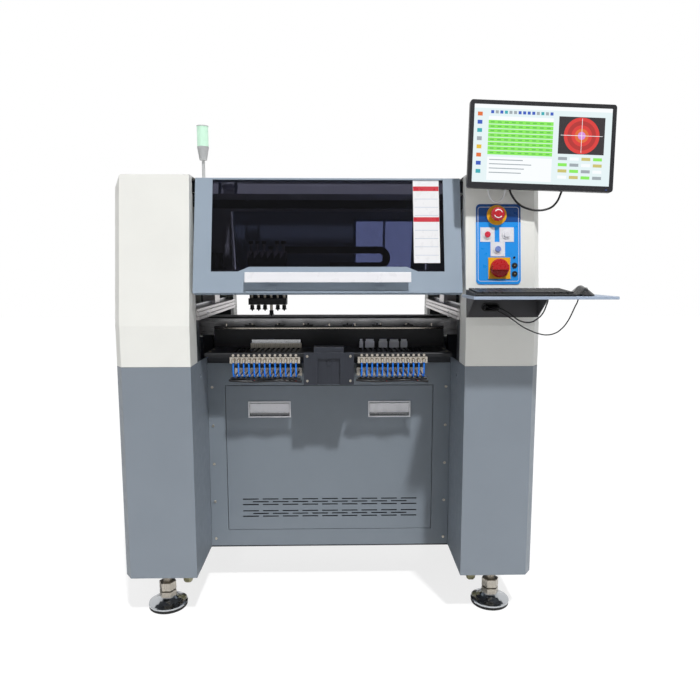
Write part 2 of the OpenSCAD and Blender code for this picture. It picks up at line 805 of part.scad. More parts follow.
// Outline of the cable chain in X-Z: lower run, bend and upper run
module chain_outline(inset) {
    r0 = chain_r - chain_h / 2 + inset;
    r1 = chain_r + chain_h / 2 - inset;
    z = chain_low + r1 + inset;
    difference() {
        union() {
            translate([chain_bend_x, z]) circle(r = r1);
            translate([-164 + inset, z + r0]) square([chain_bend_x + 164 - inset, r1 - r0]);
            translate([0 + inset, z - r1]) square([chain_bend_x - inset, r1 - r0]);
        }
        translate([chain_bend_x, z]) circle(r = r0);
        translate([-200, z - r0]) square([chain_bend_x + 200, 2 * r0]);
    }
}

module cable_chain() {
    color("black") difference() {
        front_prism(chain_y, chain_y + chain_w) chain_outline(0);
        for (y = [-1, chain_w - 3]) for (i = [0 : 15])
            block([-160 + i * 20.5, chain_y + y, chain_low + 2 * chain_r - 1],
                [-158 + i * 20.5, chain_y + y + 4, chain_low + 2 * chain_r + chain_h + 1]);
    }
    color("dimgray") block([4, chain_y, gantry_z + gantry_h], [40, chain_y + chain_w, chain_low]);
}

module head_body() {
    back = gantry_y - 10;
    z1 = gantry_z + gantry_h;
    color("black") difference() {
        union() {
            block([head_x0, nozzle_y - 22, tip_z + 23], [head_x1, nozzle_y + 14, tip_z + 45]);
            block([head_x0, nozzle_y - 22, 1064], [head_x1, nozzle_y + 14, 1100]);
            block([head_x0, nozzle_y + 10, tip_z + 23], [head_x1, back - 4, 1112]);
            for (z = [gantry_z + 12, gantry_z + gantry_h - 24])
                block([head_x0 + 10, back - 5, z - 9], [head_x1 - 10, gantry_y - 1, z + 21]);
        }
        for (z = [gantry_z + 12, gantry_z + gantry_h - 24])
            block([head_x0 - 1, back - gap, z - gap], [head_x1 + 1, gantry_y + 1, z + 12 + gap]);
        for (i = [0 : 5]) translate([nozzle_x + i * nozzle_pitch, nozzle_y, tip_z]) cylinder(h = 220, r = shaft_r + run);
    }
    color("dimgray") for (i = [0 : 5]) translate([nozzle_x + i * nozzle_pitch - 10, nozzle_y - 21, 1100 ])
        difference() {
            cube([20, 34, 26]);
            translate([10, 21, -1]) cylinder(h = 40, r = shaft_r + 1);
        }
}

// One nozzle about its own axis, with its tip at the height tip_z
module nozzle(i) {
    drop = i == 4 ? lowered : 0;
    color("black") translate([nozzle_x + (i - 1) * nozzle_pitch, nozzle_y, tip_z - drop]) {
        rotate_extrude() polygon([[0, 0], [1.2, 0], [2, 3], [6, 6], [9, 6], [9, 8], [7, 9], [7, 20],
            [shaft_r, 21.5], [shaft_r, 232], [0, 232]]);
        translate([0, 0, 232 - eps]) cylinder(h = 10, r = 8);
    }
}

module nozzle_1() nozzle(1);
module nozzle_2() nozzle(2);
module nozzle_3() nozzle(3);
module nozzle_4() nozzle(4);
module nozzle_5() nozzle(5);
module nozzle_6() nozzle(6);

// ---- Hoods ----

// Outline of the window opening, its middle raised over the handle
module window_outline() {
    side = hood_w / 2 - hood_side;
    low = -hood_l + hood_foot;
    step = handle_l / 2 - 10;
    polygon([[-side, -5], [side, -5], [side, low], [step + 33, low], [step, low + 14], [-step, low + 14],
        [-step - 33, low], [-side, low]]);
}

// The pressed hood, with the window outline given as its child
module hood_frame() {
    difference() {
        union() {
            block([-hood_w / 2, 0, -hood_l], [hood_w / 2, hood_t, 0]);
            both_sides() for (x = [hinge_x - 28, hinge_x + 20]) hood_ear(x);
        }
        block([-hood_w / 2 + 3, 3, -hood_l + 3], [hood_w / 2 - 3, hood_t + 1, -3]);
        front_prism(-1, 4) children();
    }
    both_sides() x_rod(hinge_x - 28, hinge_x + 28, hood_pin_r, pin_back, -pin_drop);
    for (x = [-165, 150]) block([x - 14, -6, -hood_l + 7], [x + 14, eps, -hood_l + 19]);
    block([-238, -3, -hood_l], [238, eps, -hood_l + 4]);
}

// An ear that carries a hinge pin behind the hood
module hood_ear(x) side_prism(x, x + 8) polygon([[hood_t - eps, -40], [hood_t, -1], [pin_back, -5],
    [pin_back + 7, -pin_drop], [pin_back, -19]]);

module hood_window() block([-hood_w / 2 + 20, 3, -hood_l + 30], [hood_w / 2 - 20, 3 + window_t, -3]);

// A folded grip that stands off the hood and is open below
module hood_handle() side_prism(-handle_l / 2, handle_l / 2) polygon([[0, -289], [2 - handle_stand, -289],
    [-handle_stand, -291], [-handle_stand, -handle_low], [3 - handle_stand, -handle_low],
    [3 - handle_stand, -292], [0, -292]]);

// Outline of the rear hood's two-pane window
module rear_window_outline() {
    pane = (rear_window_w - 10) / 2;
    for (x = [0, pane + 10]) translate([rear_window_x + x, -74 - rear_window_h]) square([pane, rear_window_h]);
}

module front_hood() color("slategray") on_hood() hood_frame() window_outline();

module front_hood_window() color([0.05, 0.05, 0.08, 0.9]) on_hood() hood_window();

module front_hood_handle() color("white") on_hood() hood_handle();

module rear_hood() rear() {
    color("slategray") on_hood() hood_frame() rear_window_outline();
    color("white") on_hood() hood_handle();
}

module rear_hood_window() color([0.05, 0.05, 0.08, 0.9]) rear() on_hood()
    block([rear_window_x - 10, 3, -84 - rear_window_h], [rear_window_x + rear_window_w + 10, 3 + window_t, -64]);

// ---- Light tower ----

module light_tower() {
    translate([tower_x, tower_y, housing_h]) {
        color("silver") {
            cylinder(h = 7, r = 17);
            translate([0, 0, 7]) cylinder(h = 82, r = 5);
            translate([0, 0, 89]) cylinder(h = 43, r1 = 12, r2 = lens_d / 2);
        }
        color("honeydew") translate([0, 0, 132]) cylinder(h = lens_h, r = lens_d / 2 - 1);
        color("silver") translate([0, 0, 132 + lens_h]) cylinder(h = 3, r = lens_d / 2);
    }
}

// ---- Operator station ----

panel_low = up_slope(1020);
panel_high = up_slope(1251);
estop_at = [90, up_slope(1219)];
button_at = [[63, up_slope(1163)], [119, up_slope(1163)], [93, up_slope(1121)]];
isolator_at = [97, up_slope(1066)];
port_at = [[142, up_slope(1074)], [142, up_slope(1050)], [141, up_slope(1097)]];

// A disc or ring square to the sloping face
module on_panel(at, out, depth, r) translate([at[0], -out, at[1]]) rotate([-90, 0, 0]) cylinder(h = depth, r = r);

module control_panel() {
    color("dodgerblue") on_slope() difference() {
        front_prism(-2, 0) {
            translate([42, panel_low]) square([106, panel_high - panel_low]);
            translate([30, panel_low + 12]) square([130, panel_high - panel_low - 24]);
            for (x = [42, 148], z = [panel_low + 12, panel_high - 12]) translate([x, z]) circle(r = 12);
        }
        on_panel(estop_at, 5, 10, 11.5);
        for (at = button_at) on_panel(at, 5, 10, 8.5);
        on_panel(isolator_at, 5, 10, 8);
    }
}

// A bezel with a round hole, standing out of the panel
module bezel(at, r, hole, out, depth) difference() {
    on_panel(at, out, depth, r);
    on_panel(at, out + 1, depth + 2, hole);
}

module panel_fittings() {
    on_slope() {
        color("gold") bezel(estop_at, 29, 11.5, 5, 3);
        color("white") for (at = button_at) {
            bezel(at, 13, 8.5, 5, 3);
            translate([at[0], 0, at[1]]) difference() {
                block([-21, -3, -21], [21, -2, 21]);
                y_rod(-4, 0, 13, 0, 0);
            }
        }
        color("gold") difference() {
            block([isolator_at[0] - 32, -4, isolator_at[1] - 31], [isolator_at[0] + 32, -2, isolator_at[1] + 31]);
            on_panel(isolator_at, 10, 20, 8);
        }
        color("black") difference() {
            on_panel(isolator_at, 2, 30, 16);
            on_panel(isolator_at, 3, 32, 8);
            on_panel(isolator_at, 3, 3, 20);
        }
        color("black") for (at = port_at) on_panel(at, 4, 2, at[1] > up_slope(1090) ? 3 : 8);
    }
}

module estop_button() {
    color("red") on_slope() translate([estop_at[0], 0, estop_at[1]]) rotate([90, 0, 0]) rotate_extrude()
        polygon([[0, -12], [11.4, -12], [11.4, 11], [18, 12], [20, 15], [20, 19], [17, 23], [9, 25], [0, 25]]);
}

module push_button(i) {
    color(i == 0 ? "red" : "white") on_slope() translate([button_at[i][0], 0, button_at[i][1]]) rotate([90, 0, 0])
        rotate_extrude() polygon([[0, -10], [8.4, -10], [8.4, 7.5], [7.5, 8.5], [0, 8.5]]);
}

module start_button() push_button(1);

module stop_button() push_button(0);

module reset_button() push_button(2);

module isolator_knob() {
    color("red") on_slope() translate([isolator_at[0], 0, isolator_at[1]]) rotate([90, 0, 0]) {
        rotate_extrude() polygon([[0, -24], [7.9, -24], [7.9, 4.3], [27, 4.3], [27, 10], [24, 12], [0, 12]]);
        translate([-24, -7, 12 - eps]) cube([48, 14, 12]);
    }
}

// A column on the housing's top with an arm slanting forwards to the monitor's neck
module monitor_arm() {
    dx = station_x - arm_post_x;
    dy = neck_y - 150;
    color("black") {
        translate([arm_post_x - 36, 114, housing_h]) cube([72, 72, 6]);
        translate([arm_post_x, 150, housing_h + 6 - eps]) cylinder(h = arm_z - housing_h + 14, r = 15);
        translate([arm_post_x, 150, arm_z - 10]) rotate([0, 0, atan2(dy, dx)])
            translate([0, -14, 0]) cube([norm([dx, dy]), 28, 20]);
        translate([station_x, neck_y, arm_z - 26]) cylinder(h = 52, r = 8);
        translate([station_x, neck_y, arm_z - 10]) cylinder(h = 20, r = 16);
    }
}

module monitor_bracket() {
    color("dimgray") difference() {
        union() {
            for (z = [arm_z - 25, arm_z + 10 + gap]) translate([station_x, neck_y, z]) cylinder(h = 14.7, r = 15);
            block([station_x - 12, tilt_y - 6, arm_z - 9], [station_x + 12, neck_y - 14, arm_z + 9]);
            block([station_x - 12, tilt_y + 6, arm_z - 25], [station_x + 12, neck_y - 14, arm_z + 25]);
            for (z = [arm_z - 25, arm_z + 10 + gap])
                block([station_x - 12, neck_y - 16, z], [station_x + 12, neck_y, z + 14.7]);
        }
        translate([station_x, neck_y, arm_z - 40]) cylinder(h = 80, r = 8 + run);
        translate([station_x, neck_y, arm_z - 10 - gap]) cylinder(h = 20 + 2 * gap, r = 16 + 3);
        x_rod(station_x - 20, station_x + 20, 5 + run, tilt_y, arm_z);
    }
}

module on_monitor() translate([station_x, tilt_y, arm_z]) rotate([-monitor_tilt, 0, 0])
    rotate([0, monitor_roll, 0]) children();

// A plate with rounded corners across the monitor
module monitor_plate(w, h, r, y0, y1) front_prism(y0, y1) {
    translate([-w / 2 + r, -h / 2]) square([w - 2 * r, h]);
    translate([-w / 2, -h / 2 + r]) square([w, h - 2 * r]);
    for (x = [-1, 1], z = [-1, 1]) translate([x * (w / 2 - r), z * (h / 2 - r)]) circle(r = r, $fn = 24);
}

module monitor() {
    color("black") {
        on_monitor() difference() {
            union() {
                monitor_plate(monitor_w, monitor_h, monitor_r, -44, -28);
                monitor_plate(monitor_w - 80, monitor_h - 70, 12, -28 - eps, -12);
            }
            block([-monitor_w / 2 + 12, -45, -monitor_h / 2 + 16], [monitor_w / 2 - 12, -42, monitor_h / 2 - 12]);
        }
        difference() {
            for (x = [-1, 1]) side_prism(station_x + x * 18 - 5, station_x + x * 18 + 5) translate([tilt_y, arm_z])
                polygon([[-14, -25], [0, -9], [8, -5], [8, 5], [0, 9], [-14, 25]]);
            on_monitor() block([-60, -40, -40], [60, -12 - eps, 40]);
        }
        x_rod(station_x - 18, station_x + 18, 5, tilt_y, arm_z);
    }
    color("lightcyan") on_monitor() block([-monitor_w / 2 + 12, -43.5, -monitor_h / 2 + 16],
        [monitor_w / 2 - 12, -42, monitor_h / 2 - 12]);
}

// The oval cable hole through the bracket and the cover behind it
module cable_slot(y0, y1) {
    z = up_slope(954);
    for (x = [56, 84]) y_rod(y0, y1, 10, x, z);
    block([56, y0, z - 10], [84, y1, z + 10]);
}

// An angle of sheet: one leg lies on the sloping face, the other carries the tray, with a gusset at each end
module tray_bracket() {
    low = tray_z - 3 - shelf_t;
    foot = 925;
    back = function(z) tan(lean_angle) * (z - fold_z);
    front = function(z) back(z) - shelf_t / cos(lean_angle);
    color("dimgray") difference() {
        union() {
            side_prism(bay + 1, bay + 210) polygon([[back(foot), foot], [back(low + shelf_t), low + shelf_t],
                [tray_front + 12, low + shelf_t], [tray_front + 12, low], [front(low), low], [front(foot), foot]]);
            for (x = [bay + 1, bay + 207]) side_prism(x, x + 3)
                polygon([[tray_front + 60, low + 1], [front(low) + 1, low + 1], [front(foot) + 1, foot + 5],
                    [front(foot) - 6, foot + 5]]);
        }
        on_slope() cable_slot(-10, 10);
    }
}

module keyboard_tray() {
    x0 = tray_right - tray_w;
    color("lightsteelblue") {
        block([x0, tray_front, tray_z - 3], [tray_right, tray_front + tray_d, tray_z]);
        for (r = [[x0, tray_front, tray_right, tray_front + 2], [x0, tray_front, x0 + 2, tray_front + tray_d],
            [tray_right - 2, tray_front, tray_right, tray_front + tray_d]])
            block([r[0], r[1], tray_z - 8], [r[2], r[3], tray_z - 3 + eps]);
    }
}

key_pitch = 17.4;

module keyboard() {
    x0 = tray_right - tray_w + 6;
    w = 15 * key_pitch + 10;
    color("black") translate([x0, tray_front + 8, tray_z]) {
        side_prism(0, w) polygon([[0, 0], [126, 0], [126, 12], [122, 15], [4, 7], [0, 5]]);
        translate([5, 6, 6.8]) rotate([atan(8 / 118), 0, 0]) {
            for (row = [1 : 5], i = [0 : 14]) translate([i * key_pitch + 1, row * 19 + 1, 0]) cube([key_pitch - 2, 16, 5]);
            for (i = [0 : 3], x = [0, 11]) translate([(i + x) * key_pitch + 1, 1, 0]) cube([key_pitch - 2, 16, 5]);
            translate([4 * key_pitch + 1, 1, 0]) cube([7 * key_pitch - 2, 16, 5]);
        }
    }
}

module mouse() {
    color("black") translate([701, tray_front + 66, tray_z]) {
        hull() {
            cylinder(h = 4, r = 28, $fn = 28);
            translate([0, 34, 0]) cylinder(h = 4, r = 22, $fn = 28);
            translate([0, -26, 0]) cylinder(h = 4, r = 24, $fn = 28);
            translate([0, 10, 14]) sphere(r = 14, $fn = 28);
            translate([0, -24, 11]) sphere(r = 10, $fn = 28);
        }
        x_rod(-2.5, 2.5, 8, -28, 15);
    }
}

// ---- Cables ----

function unit(v) = v / norm(v);

// Direction of a route at point i
function heading(p, i) = unit(p[min(i + 1, len(p) - 1)] - p[max(i - 1, 0)]);

// A tube of eight sides swept along a route
module tube_along(p, r) {
    sides = 8;
    rings = [for (i = [0 : len(p) - 1]) let (d = heading(p, i), a = unit(cross(d, [0, 1, 0])), b = cross(d, a))
        for (k = [0 : sides - 1]) p[i] + r * (cos(k * 360 / sides) * a + sin(k * 360 / sides) * b)];
    last = (len(p) - 1) * sides;
    polyhedron(points = rings, faces = concat(
        [[for (k = [sides - 1 : -1 : 0]) k]],
        [for (i = [0 : len(p) - 2]) for (k = [0 : sides - 1]) let (n = (k + 1) % sides)
            [i * sides + k, i * sides + n, (i + 1) * sides + n, (i + 1) * sides + k]],
        [[for (k = [0 : sides - 1]) last + k]]));
}

module keyboard_cable() color("black") tube_along(keyboard_route, 2);

module mouse_cable() color("black") tube_along(mouse_route, 1.75);

module monitor_signal_cable() color("white") tube_along(signal_route, 2.5);

module monitor_power_cable() color("black") tube_along(power_route, 3);

placed() {
    base_frame();
    left_lower_cover();
    right_lower_cover();
    left_upper_cover();
    right_upper_cover();
    top_panel();
    door_surrounds();
    front_door();
    rear_door();
    machine_bed();
    y_beams();
    feeder_tables();
    air_fittings();
    feeder_tubes();
    centre_brackets();
    conveyor_fixed_rail();
    conveyor_moving_rail();
    width_screw();
    camera_and_nozzle_rack();
    light_tower();
    control_panel();
    panel_fittings();
    estop_button();
    start_button();
    stop_button();
    reset_button();
    isolator_knob();
    monitor_arm();
    monitor_bracket();
    monitor();
    tray_bracket();
    keyboard_tray();
    keyboard();
    mouse();
    keyboard_cable();
    mouse_cable();
    monitor_signal_cable();
    monitor_power_cable();
    levelling_feet();
    caster_forks();
    caster_wheel(-1, -1);  // caster_wheel_fl
    caster_wheel(1, -1);  // caster_wheel_fr
    caster_wheel(-1, 1);  // caster_wheel_rl
    caster_wheel(1, 1);  // caster_wheel_rr
    front_hood();
    front_hood_window();
    front_hood_handle();
    rear_hood();
    rear_hood_window();
    gantry_beam();
    cable_chain();
    head_body();
    nozzle_1();
    nozzle_2();
    nozzle_3();
    nozzle_4();
    nozzle_5();
    nozzle_6();
    left_handle_flap();
    right_handle_flap();
}
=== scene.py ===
# %% [markdown]
# # A floor-standing pick and place machine
# The construction comes as a finished frame: sixty named parts, packed with their joints.
# This notebook gives them their looks and adds the small things that sit on them.
# Nothing here moves or reshapes a part of the frame, so every new piece takes its place from the frame.

# %% Load the frame
import math
import random

import bmesh
import bpy
from mathutils import Matrix, Vector


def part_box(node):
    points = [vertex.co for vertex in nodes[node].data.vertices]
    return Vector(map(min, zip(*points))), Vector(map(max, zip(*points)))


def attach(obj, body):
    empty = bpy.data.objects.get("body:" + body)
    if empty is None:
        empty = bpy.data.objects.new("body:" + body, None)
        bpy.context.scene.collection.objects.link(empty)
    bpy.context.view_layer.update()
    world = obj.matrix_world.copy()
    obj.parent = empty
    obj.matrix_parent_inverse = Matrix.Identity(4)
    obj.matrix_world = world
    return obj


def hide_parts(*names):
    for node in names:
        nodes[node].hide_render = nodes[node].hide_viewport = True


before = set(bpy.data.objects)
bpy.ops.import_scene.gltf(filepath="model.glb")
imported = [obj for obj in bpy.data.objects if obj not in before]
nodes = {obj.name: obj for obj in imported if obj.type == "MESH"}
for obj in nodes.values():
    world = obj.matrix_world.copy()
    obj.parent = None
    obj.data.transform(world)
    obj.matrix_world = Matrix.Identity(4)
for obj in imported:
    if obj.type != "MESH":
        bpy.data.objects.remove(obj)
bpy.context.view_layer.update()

# %% [markdown]
# The machine is drawn from the middle of its width, the front of its covers and the floor.
# The frame's own origin is under the middle of everything, keyboard tray included.
# `at` turns one into the other, so that later cells can speak in the maker's millimetres.

# %% Places on the machine
MM = 0.001
MID_X = (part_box("left_lower_cover")[0].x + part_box("right_lower_cover")[1].x) / 2
FRONT_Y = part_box("left_lower_cover")[0].y
REAR_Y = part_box("left_lower_cover")[1].y
DEPTH = (REAR_Y - FRONT_Y) / MM


def at(x, y, z):
    """A point in millimetres from the machine's middle, front and floor."""
    return Vector((MID_X + x * MM, FRONT_Y + y * MM, z * MM))


def mm_box(node):
    """A part's lowest and highest corners in the same millimetres."""
    low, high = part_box(node)
    origin = Vector((MID_X, FRONT_Y, 0))
    return (low - origin) / MM, (high - origin) / MM


BAY = -mm_box("left_lower_cover")[1].x
print("middle", round(MID_X, 4), "front", round(FRONT_Y, 4), "bay half width", round(BAY, 1))

# %% [markdown]
# The camera stands at a person's chest height, about 1.8 m in front, and looks a little down.
# A focal length near 32 mm keeps the machine's sides in, and there is no shift and no blur.

# %% Camera
lens = bpy.data.cameras.new("camera")
lens.lens = 32.14
lens.sensor_width = 36
camera = bpy.data.objects.new("camera", lens)
camera.location = at(25.45, -1802.2, 1058.25)
camera.rotation_euler = (math.radians(82.8), 0, math.radians(-1.19))
bpy.context.scene.collection.objects.link(camera)
bpy.context.scene.camera = camera
print("camera at", [round(v, 3) for v in camera.location])

# %% [markdown]
# Every piece goes the same way into the scene: a bmesh becomes a mesh, the mesh gets its finishes,
# and the object rides on the body that carries it. `add_piece` does that once for all.
# Solid shapes are smooth with their sharp edges kept, as real bent sheet and turned metal are.

# %% Putting a piece into the scene
SHARP = math.radians(35)


def add_piece(name, bm, body, finishes, smooth=True):
    """Turns a bmesh into a piece that rides on a body."""
    bmesh.ops.remove_doubles(bm, verts=bm.verts, dist=1e-6)
    bmesh.ops.recalc_face_normals(bm, faces=bm.faces)
    for edge in bm.edges:
        edge.smooth = len(edge.link_faces) == 2 and edge.calc_face_angle(0) < SHARP
    for face in bm.faces:
        face.smooth = smooth
    mesh = bpy.data.meshes.new(name)
    bm.to_mesh(mesh)
    bm.free()
    for finish in finishes:
        mesh.materials.append(finish)
    piece = bpy.data.objects.new(name, mesh)
    bpy.context.scene.collection.objects.link(piece)
    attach(piece, body)
    return piece


# %% [markdown]
# Most small parts are blocks, discs or turned profiles. Each helper adds one to a bmesh and gives back
# its vertices, so that a later line can turn or move it. Blocks get a small bevel, because no real
# edge is perfectly sharp and a bevel is what catches the light.

# %% Blocks, rods and turned shapes
def add_block(bm, low, high, bevel=0.0, finish=0):
    """A block between two corners, with bevelled edges."""
    size = high - low
    place = Matrix.Translation((low + high) / 2) @ Matrix.Diagonal((*size, 1))
    made = bmesh.ops.create_cube(bm, size=1, matrix=place)
    verts = made["verts"]
    faces = {f for v in verts for f in v.link_faces}
    for face in faces:
        face.material_index = finish
    if bevel:
        edges = {e for v in verts for e in v.link_edges}
        made = bmesh.ops.bevel(bm, geom=list(edges), offset=bevel, segments=2, profile=0.5,
                               affect="EDGES", material=-1)
        verts = list({v for f in made["faces"] for v in f.verts})
    return verts


def add_rod(bm, start, end, radius, sides=24, end_radius=None, finish=0):
    """A rod or cone from one point to another."""
    run = end - start
    turn = run.to_track_quat("Z", "Y").to_matrix().to_4x4()
    made = bmesh.ops.create_cone(bm, cap_ends=True, segments=sides, radius1=radius,
                                 radius2=radius if end_radius is None else end_radius,
                                 depth=run.length, matrix=Matrix.Translation((start + end) / 2) @ turn)
    for face in {f for v in made["verts"] for f in v.link_faces}:
        face.material_index = finish
    return made["verts"]


def add_turned(bm, profile, place, steps=32, finish=0):
    """A full turn of an outline given as (radius, height), set down by a matrix."""
    points = [bm.verts.new((r, 0, h)) for r, h in profile]
    edges = [bm.edges.new(pair) for pair in zip(points, points[1:])]
    before = set(bm.faces)
    bmesh.ops.spin(bm, geom=points + edges, cent=(0, 0, 0), axis=(0, 0, 1), angle=math.tau, steps=steps,
                   use_merge=True, use_duplicate=False)
    made = [f for f in bm.faces if f not in before]
    verts = list({v for f in made for v in f.verts})
    for face in made:
        face.material_index = finish
    bmesh.ops.transform(bm, matrix=place, verts=verts)
    bmesh.ops.remove_doubles(bm, verts=verts, dist=1e-7)
    return made


def facing(point, normal):
    """A matrix that stands a shape's Z along a direction at a point."""
    return Matrix.Translation(point) @ Vector(normal).to_track_quat("Z", "Y").to_matrix().to_4x4()


# %% [markdown]
# Wires and tubes are curves with a round section. A smooth curve through a few chosen points is what
# a real cable does between its clips: it has no corners and no sudden bends.

# %% Tubes along a route
def tube_curve(name, points, radius, finish, body, detail=8):
    """A round tube along one smooth line."""
    curve = bpy.data.curves.new(name, "CURVE")
    curve.dimensions = "3D"
    curve.bevel_depth = radius
    curve.bevel_resolution = 4
    curve.resolution_u = detail
    curve.use_fill_caps = True
    spline = curve.splines.new("BEZIER")
    spline.bezier_points.add(len(points) - 1)
    for knot, point in zip(spline.bezier_points, points):
        knot.co = point
        knot.handle_left_type = "AUTO"
        knot.handle_right_type = "AUTO"
    curve.materials.append(finish)
    tube = bpy.data.objects.new(name, curve)
    bpy.context.scene.collection.objects.link(tube)
    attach(tube, body)
    return tube

# %% [markdown]
# ## Finishes
# Colours are written as a paint maker writes them, from 0 to 255, and turned into light values once.
# A finish is never one flat colour: a little cloudiness in the colour, an uneven gloss and a fine
# surface grain are what tell the eye that a sheet is painted, moulded or ground.

# %% Tools for finishes
def paint(red, green, blue):
    """A colour from 0 to 255 as linear light."""
    def linear(v):
        v = v / 255
        return v / 12.92 if v <= 0.04045 else ((v + 0.055) / 1.055) ** 2.4
    return (linear(red), linear(green), linear(blue))


def start_finish(name, colour, roughness=0.5, metallic=0.0):
    """A new finish, its node tree and its main shader."""
    finish = bpy.data.materials.new(name)
    finish.use_nodes = True
    tree = finish.node_tree
    shader = tree.nodes["Principled BSDF"]
    shader.inputs["Base Color"].default_value = (*colour, 1)
    shader.inputs["Roughness"].default_value = roughness
    shader.inputs["Metallic"].default_value = metallic
    return finish, tree, shader


def grain(tree, scale, detail=2.0, stretch=(1, 1, 1)):
    """Noise that stays fixed on the piece, in grains per metre."""
    where = tree.nodes.new("ShaderNodeTexCoord")
    mapping = tree.nodes.new("ShaderNodeMapping")
    mapping.inputs["Scale"].default_value = stretch
    noise = tree.nodes.new("ShaderNodeTexNoise")
    noise.inputs["Scale"].default_value = scale
    noise.inputs["Detail"].default_value = detail
    tree.links.new(where.outputs["Object"], mapping.inputs["Vector"])
    tree.links.new(mapping.outputs["Vector"], noise.inputs["Vector"])
    return noise.outputs["Fac"]


def vary(tree, amount, socket, low, high):
    """Lets a noise move a number between two values."""
    ramp = tree.nodes.new("ShaderNodeMapRange")
    ramp.inputs["From Min"].default_value = 0.3
    ramp.inputs["From Max"].default_value = 0.7
    ramp.inputs["To Min"].default_value = low
    ramp.inputs["To Max"].default_value = high
    tree.links.new(amount, ramp.inputs["Value"])
    tree.links.new(ramp.outputs["Result"], socket)


def tint(tree, amount, socket, first, second):
    """Lets a noise or mask move a colour between two colours."""
    mix = tree.nodes.new("ShaderNodeMix")
    mix.data_type = "RGBA"
    mix.inputs["A"].default_value = (*first, 1)
    mix.inputs["B"].default_value = (*second, 1)
    tree.links.new(amount, mix.inputs["Factor"])
    tree.links.new(mix.outputs["Result"], socket)
    return mix


def relief(tree, shader, height, strength, depth):
    """Lets a noise raise the surface by a depth in metres."""
    bump = tree.nodes.new("ShaderNodeBump")
    bump.inputs["Strength"].default_value = strength
    bump.inputs["Distance"].default_value = depth
    tree.links.new(height, bump.inputs["Height"])
    tree.links.new(bump.outputs["Normal"], shader.inputs["Normal"])


# %% [markdown]
# Powder coat is sprayed on dry and baked. It flows into a fine orange peel about a millimetre across,
# and its gloss differs a little from place to place. Two noises give that: a wide soft one for the
# colour and gloss, and a fine one for the peel.

# %% Powder coat
def powder_coat(name, colour, roughness, peel=0.25):
    """Painted sheet metal."""
    finish, tree, shader = start_finish(name, colour, roughness)
    cloud = grain(tree, 6, 3)
    darker = tuple(c * 0.94 for c in colour)
    tint(tree, cloud, shader.inputs["Base Color"], darker, tuple(min(1, c * 1.04) for c in colour))
    vary(tree, grain(tree, 40, 4), shader.inputs["Roughness"], roughness - 0.06, roughness + 0.06)
    relief(tree, shader, grain(tree, 900, 1), peel, 0.00005)
    return finish


cover_white = powder_coat("cover_white", paint(241, 241, 236), 0.42)
cover_grey = powder_coat("cover_grey", paint(133, 142, 152), 0.4)
door_grey = powder_coat("door_grey", paint(122, 131, 140), 0.45)
hood_grey = powder_coat("hood_grey", paint(152, 166, 181), 0.36)
frame_grey = powder_coat("frame_grey", paint(62, 65, 70), 0.55, 0.5)
tray_grey = powder_coat("tray_grey", paint(168, 182, 203), 0.38)
bracket_grey = powder_coat("bracket_grey", paint(70, 70, 73), 0.5, 0.6)
handle_white = powder_coat("handle_white", paint(236, 236, 240), 0.3)
sticker_white = powder_coat("sticker_white", paint(240, 240, 242), 0.3, 0.05)
sticker_red = powder_coat("sticker_red", paint(205, 48, 62), 0.3, 0.05)
tower_white = powder_coat("tower_white", paint(196, 198, 200), 0.45)

# %% [markdown]
# Metals differ by how they were worked. Ground and drawn bars have scratches that all run one way,
# so their noise is stretched along that way. Chrome is smooth and has almost no grain at all.

# %% Metals
def worked_metal(name, colour, roughness, along=(1, 1, 1), scratch=0.12):
    """Bare or plated metal with fine scratches along one direction."""
    finish, tree, shader = start_finish(name, colour, roughness, 1.0)
    lines = grain(tree, 700, 3, along)
    tint(tree, lines, shader.inputs["Base Color"], tuple(c * 0.86 for c in colour), colour)
    vary(tree, lines, shader.inputs["Roughness"], max(0.03, roughness - 0.08), roughness + 0.1)
    relief(tree, shader, lines, scratch, 0.00002)
    return finish


ALONG_X = (0.03, 1, 1)
ALONG_Y = (1, 0.03, 1)
ALONG_Z = (1, 1, 0.03)
beam_alloy = worked_metal("beam_alloy", paint(232, 228, 228), 0.34, ALONG_Y)
track_alloy = worked_metal("track_alloy", paint(214, 214, 216), 0.32, ALONG_X)
guide_steel = worked_metal("guide_steel", paint(205, 207, 210), 0.16, ALONG_Y)
cross_steel = worked_metal("cross_steel", paint(205, 207, 210), 0.16, ALONG_X)
screw_steel = worked_metal("screw_steel", paint(190, 190, 192), 0.25)
nut_nickel = worked_metal("nut_nickel", paint(205, 198, 186), 0.3, ALONG_Z)
foot_chrome = worked_metal("foot_chrome", paint(214, 218, 222), 0.07, (1, 1, 1), 0.02)
fitting_brass = worked_metal("fitting_brass", paint(212, 186, 140), 0.26)
fitting_nickel = worked_metal("fitting_nickel", paint(222, 214, 202), 0.22)
pocket_chrome = worked_metal("pocket_chrome", paint(216, 218, 220), 0.18, ALONG_X, 0.05)

# %% [markdown]
# Black anodised alloy is dull and slightly grey where light grazes it. It keeps the fine lines of the
# cutter, which run along the part.

# %% Anodised and oiled blacks
def black_alloy_finish(name, colour, roughness, along):
    """Black anodised machined alloy."""
    finish, tree, shader = start_finish(name, colour, roughness, 0.35)
    lines = grain(tree, 500, 3, along)
    tint(tree, lines, shader.inputs["Base Color"], colour, tuple(c * 1.5 for c in colour))
    vary(tree, grain(tree, 60, 3), shader.inputs["Roughness"], roughness - 0.07, roughness + 0.07)
    relief(tree, shader, lines, 0.15, 0.00003)
    return finish


head_black = black_alloy_finish("head_black", paint(26, 27, 29), 0.4, ALONG_X)
table_black = black_alloy_finish("table_black", paint(30, 31, 34), 0.42, ALONG_X)
bed_black = black_alloy_finish("bed_black", paint(44, 46, 50), 0.5, ALONG_X)
bracket_black = black_alloy_finish("bracket_black", paint(46, 49, 57), 0.45, ALONG_Z)

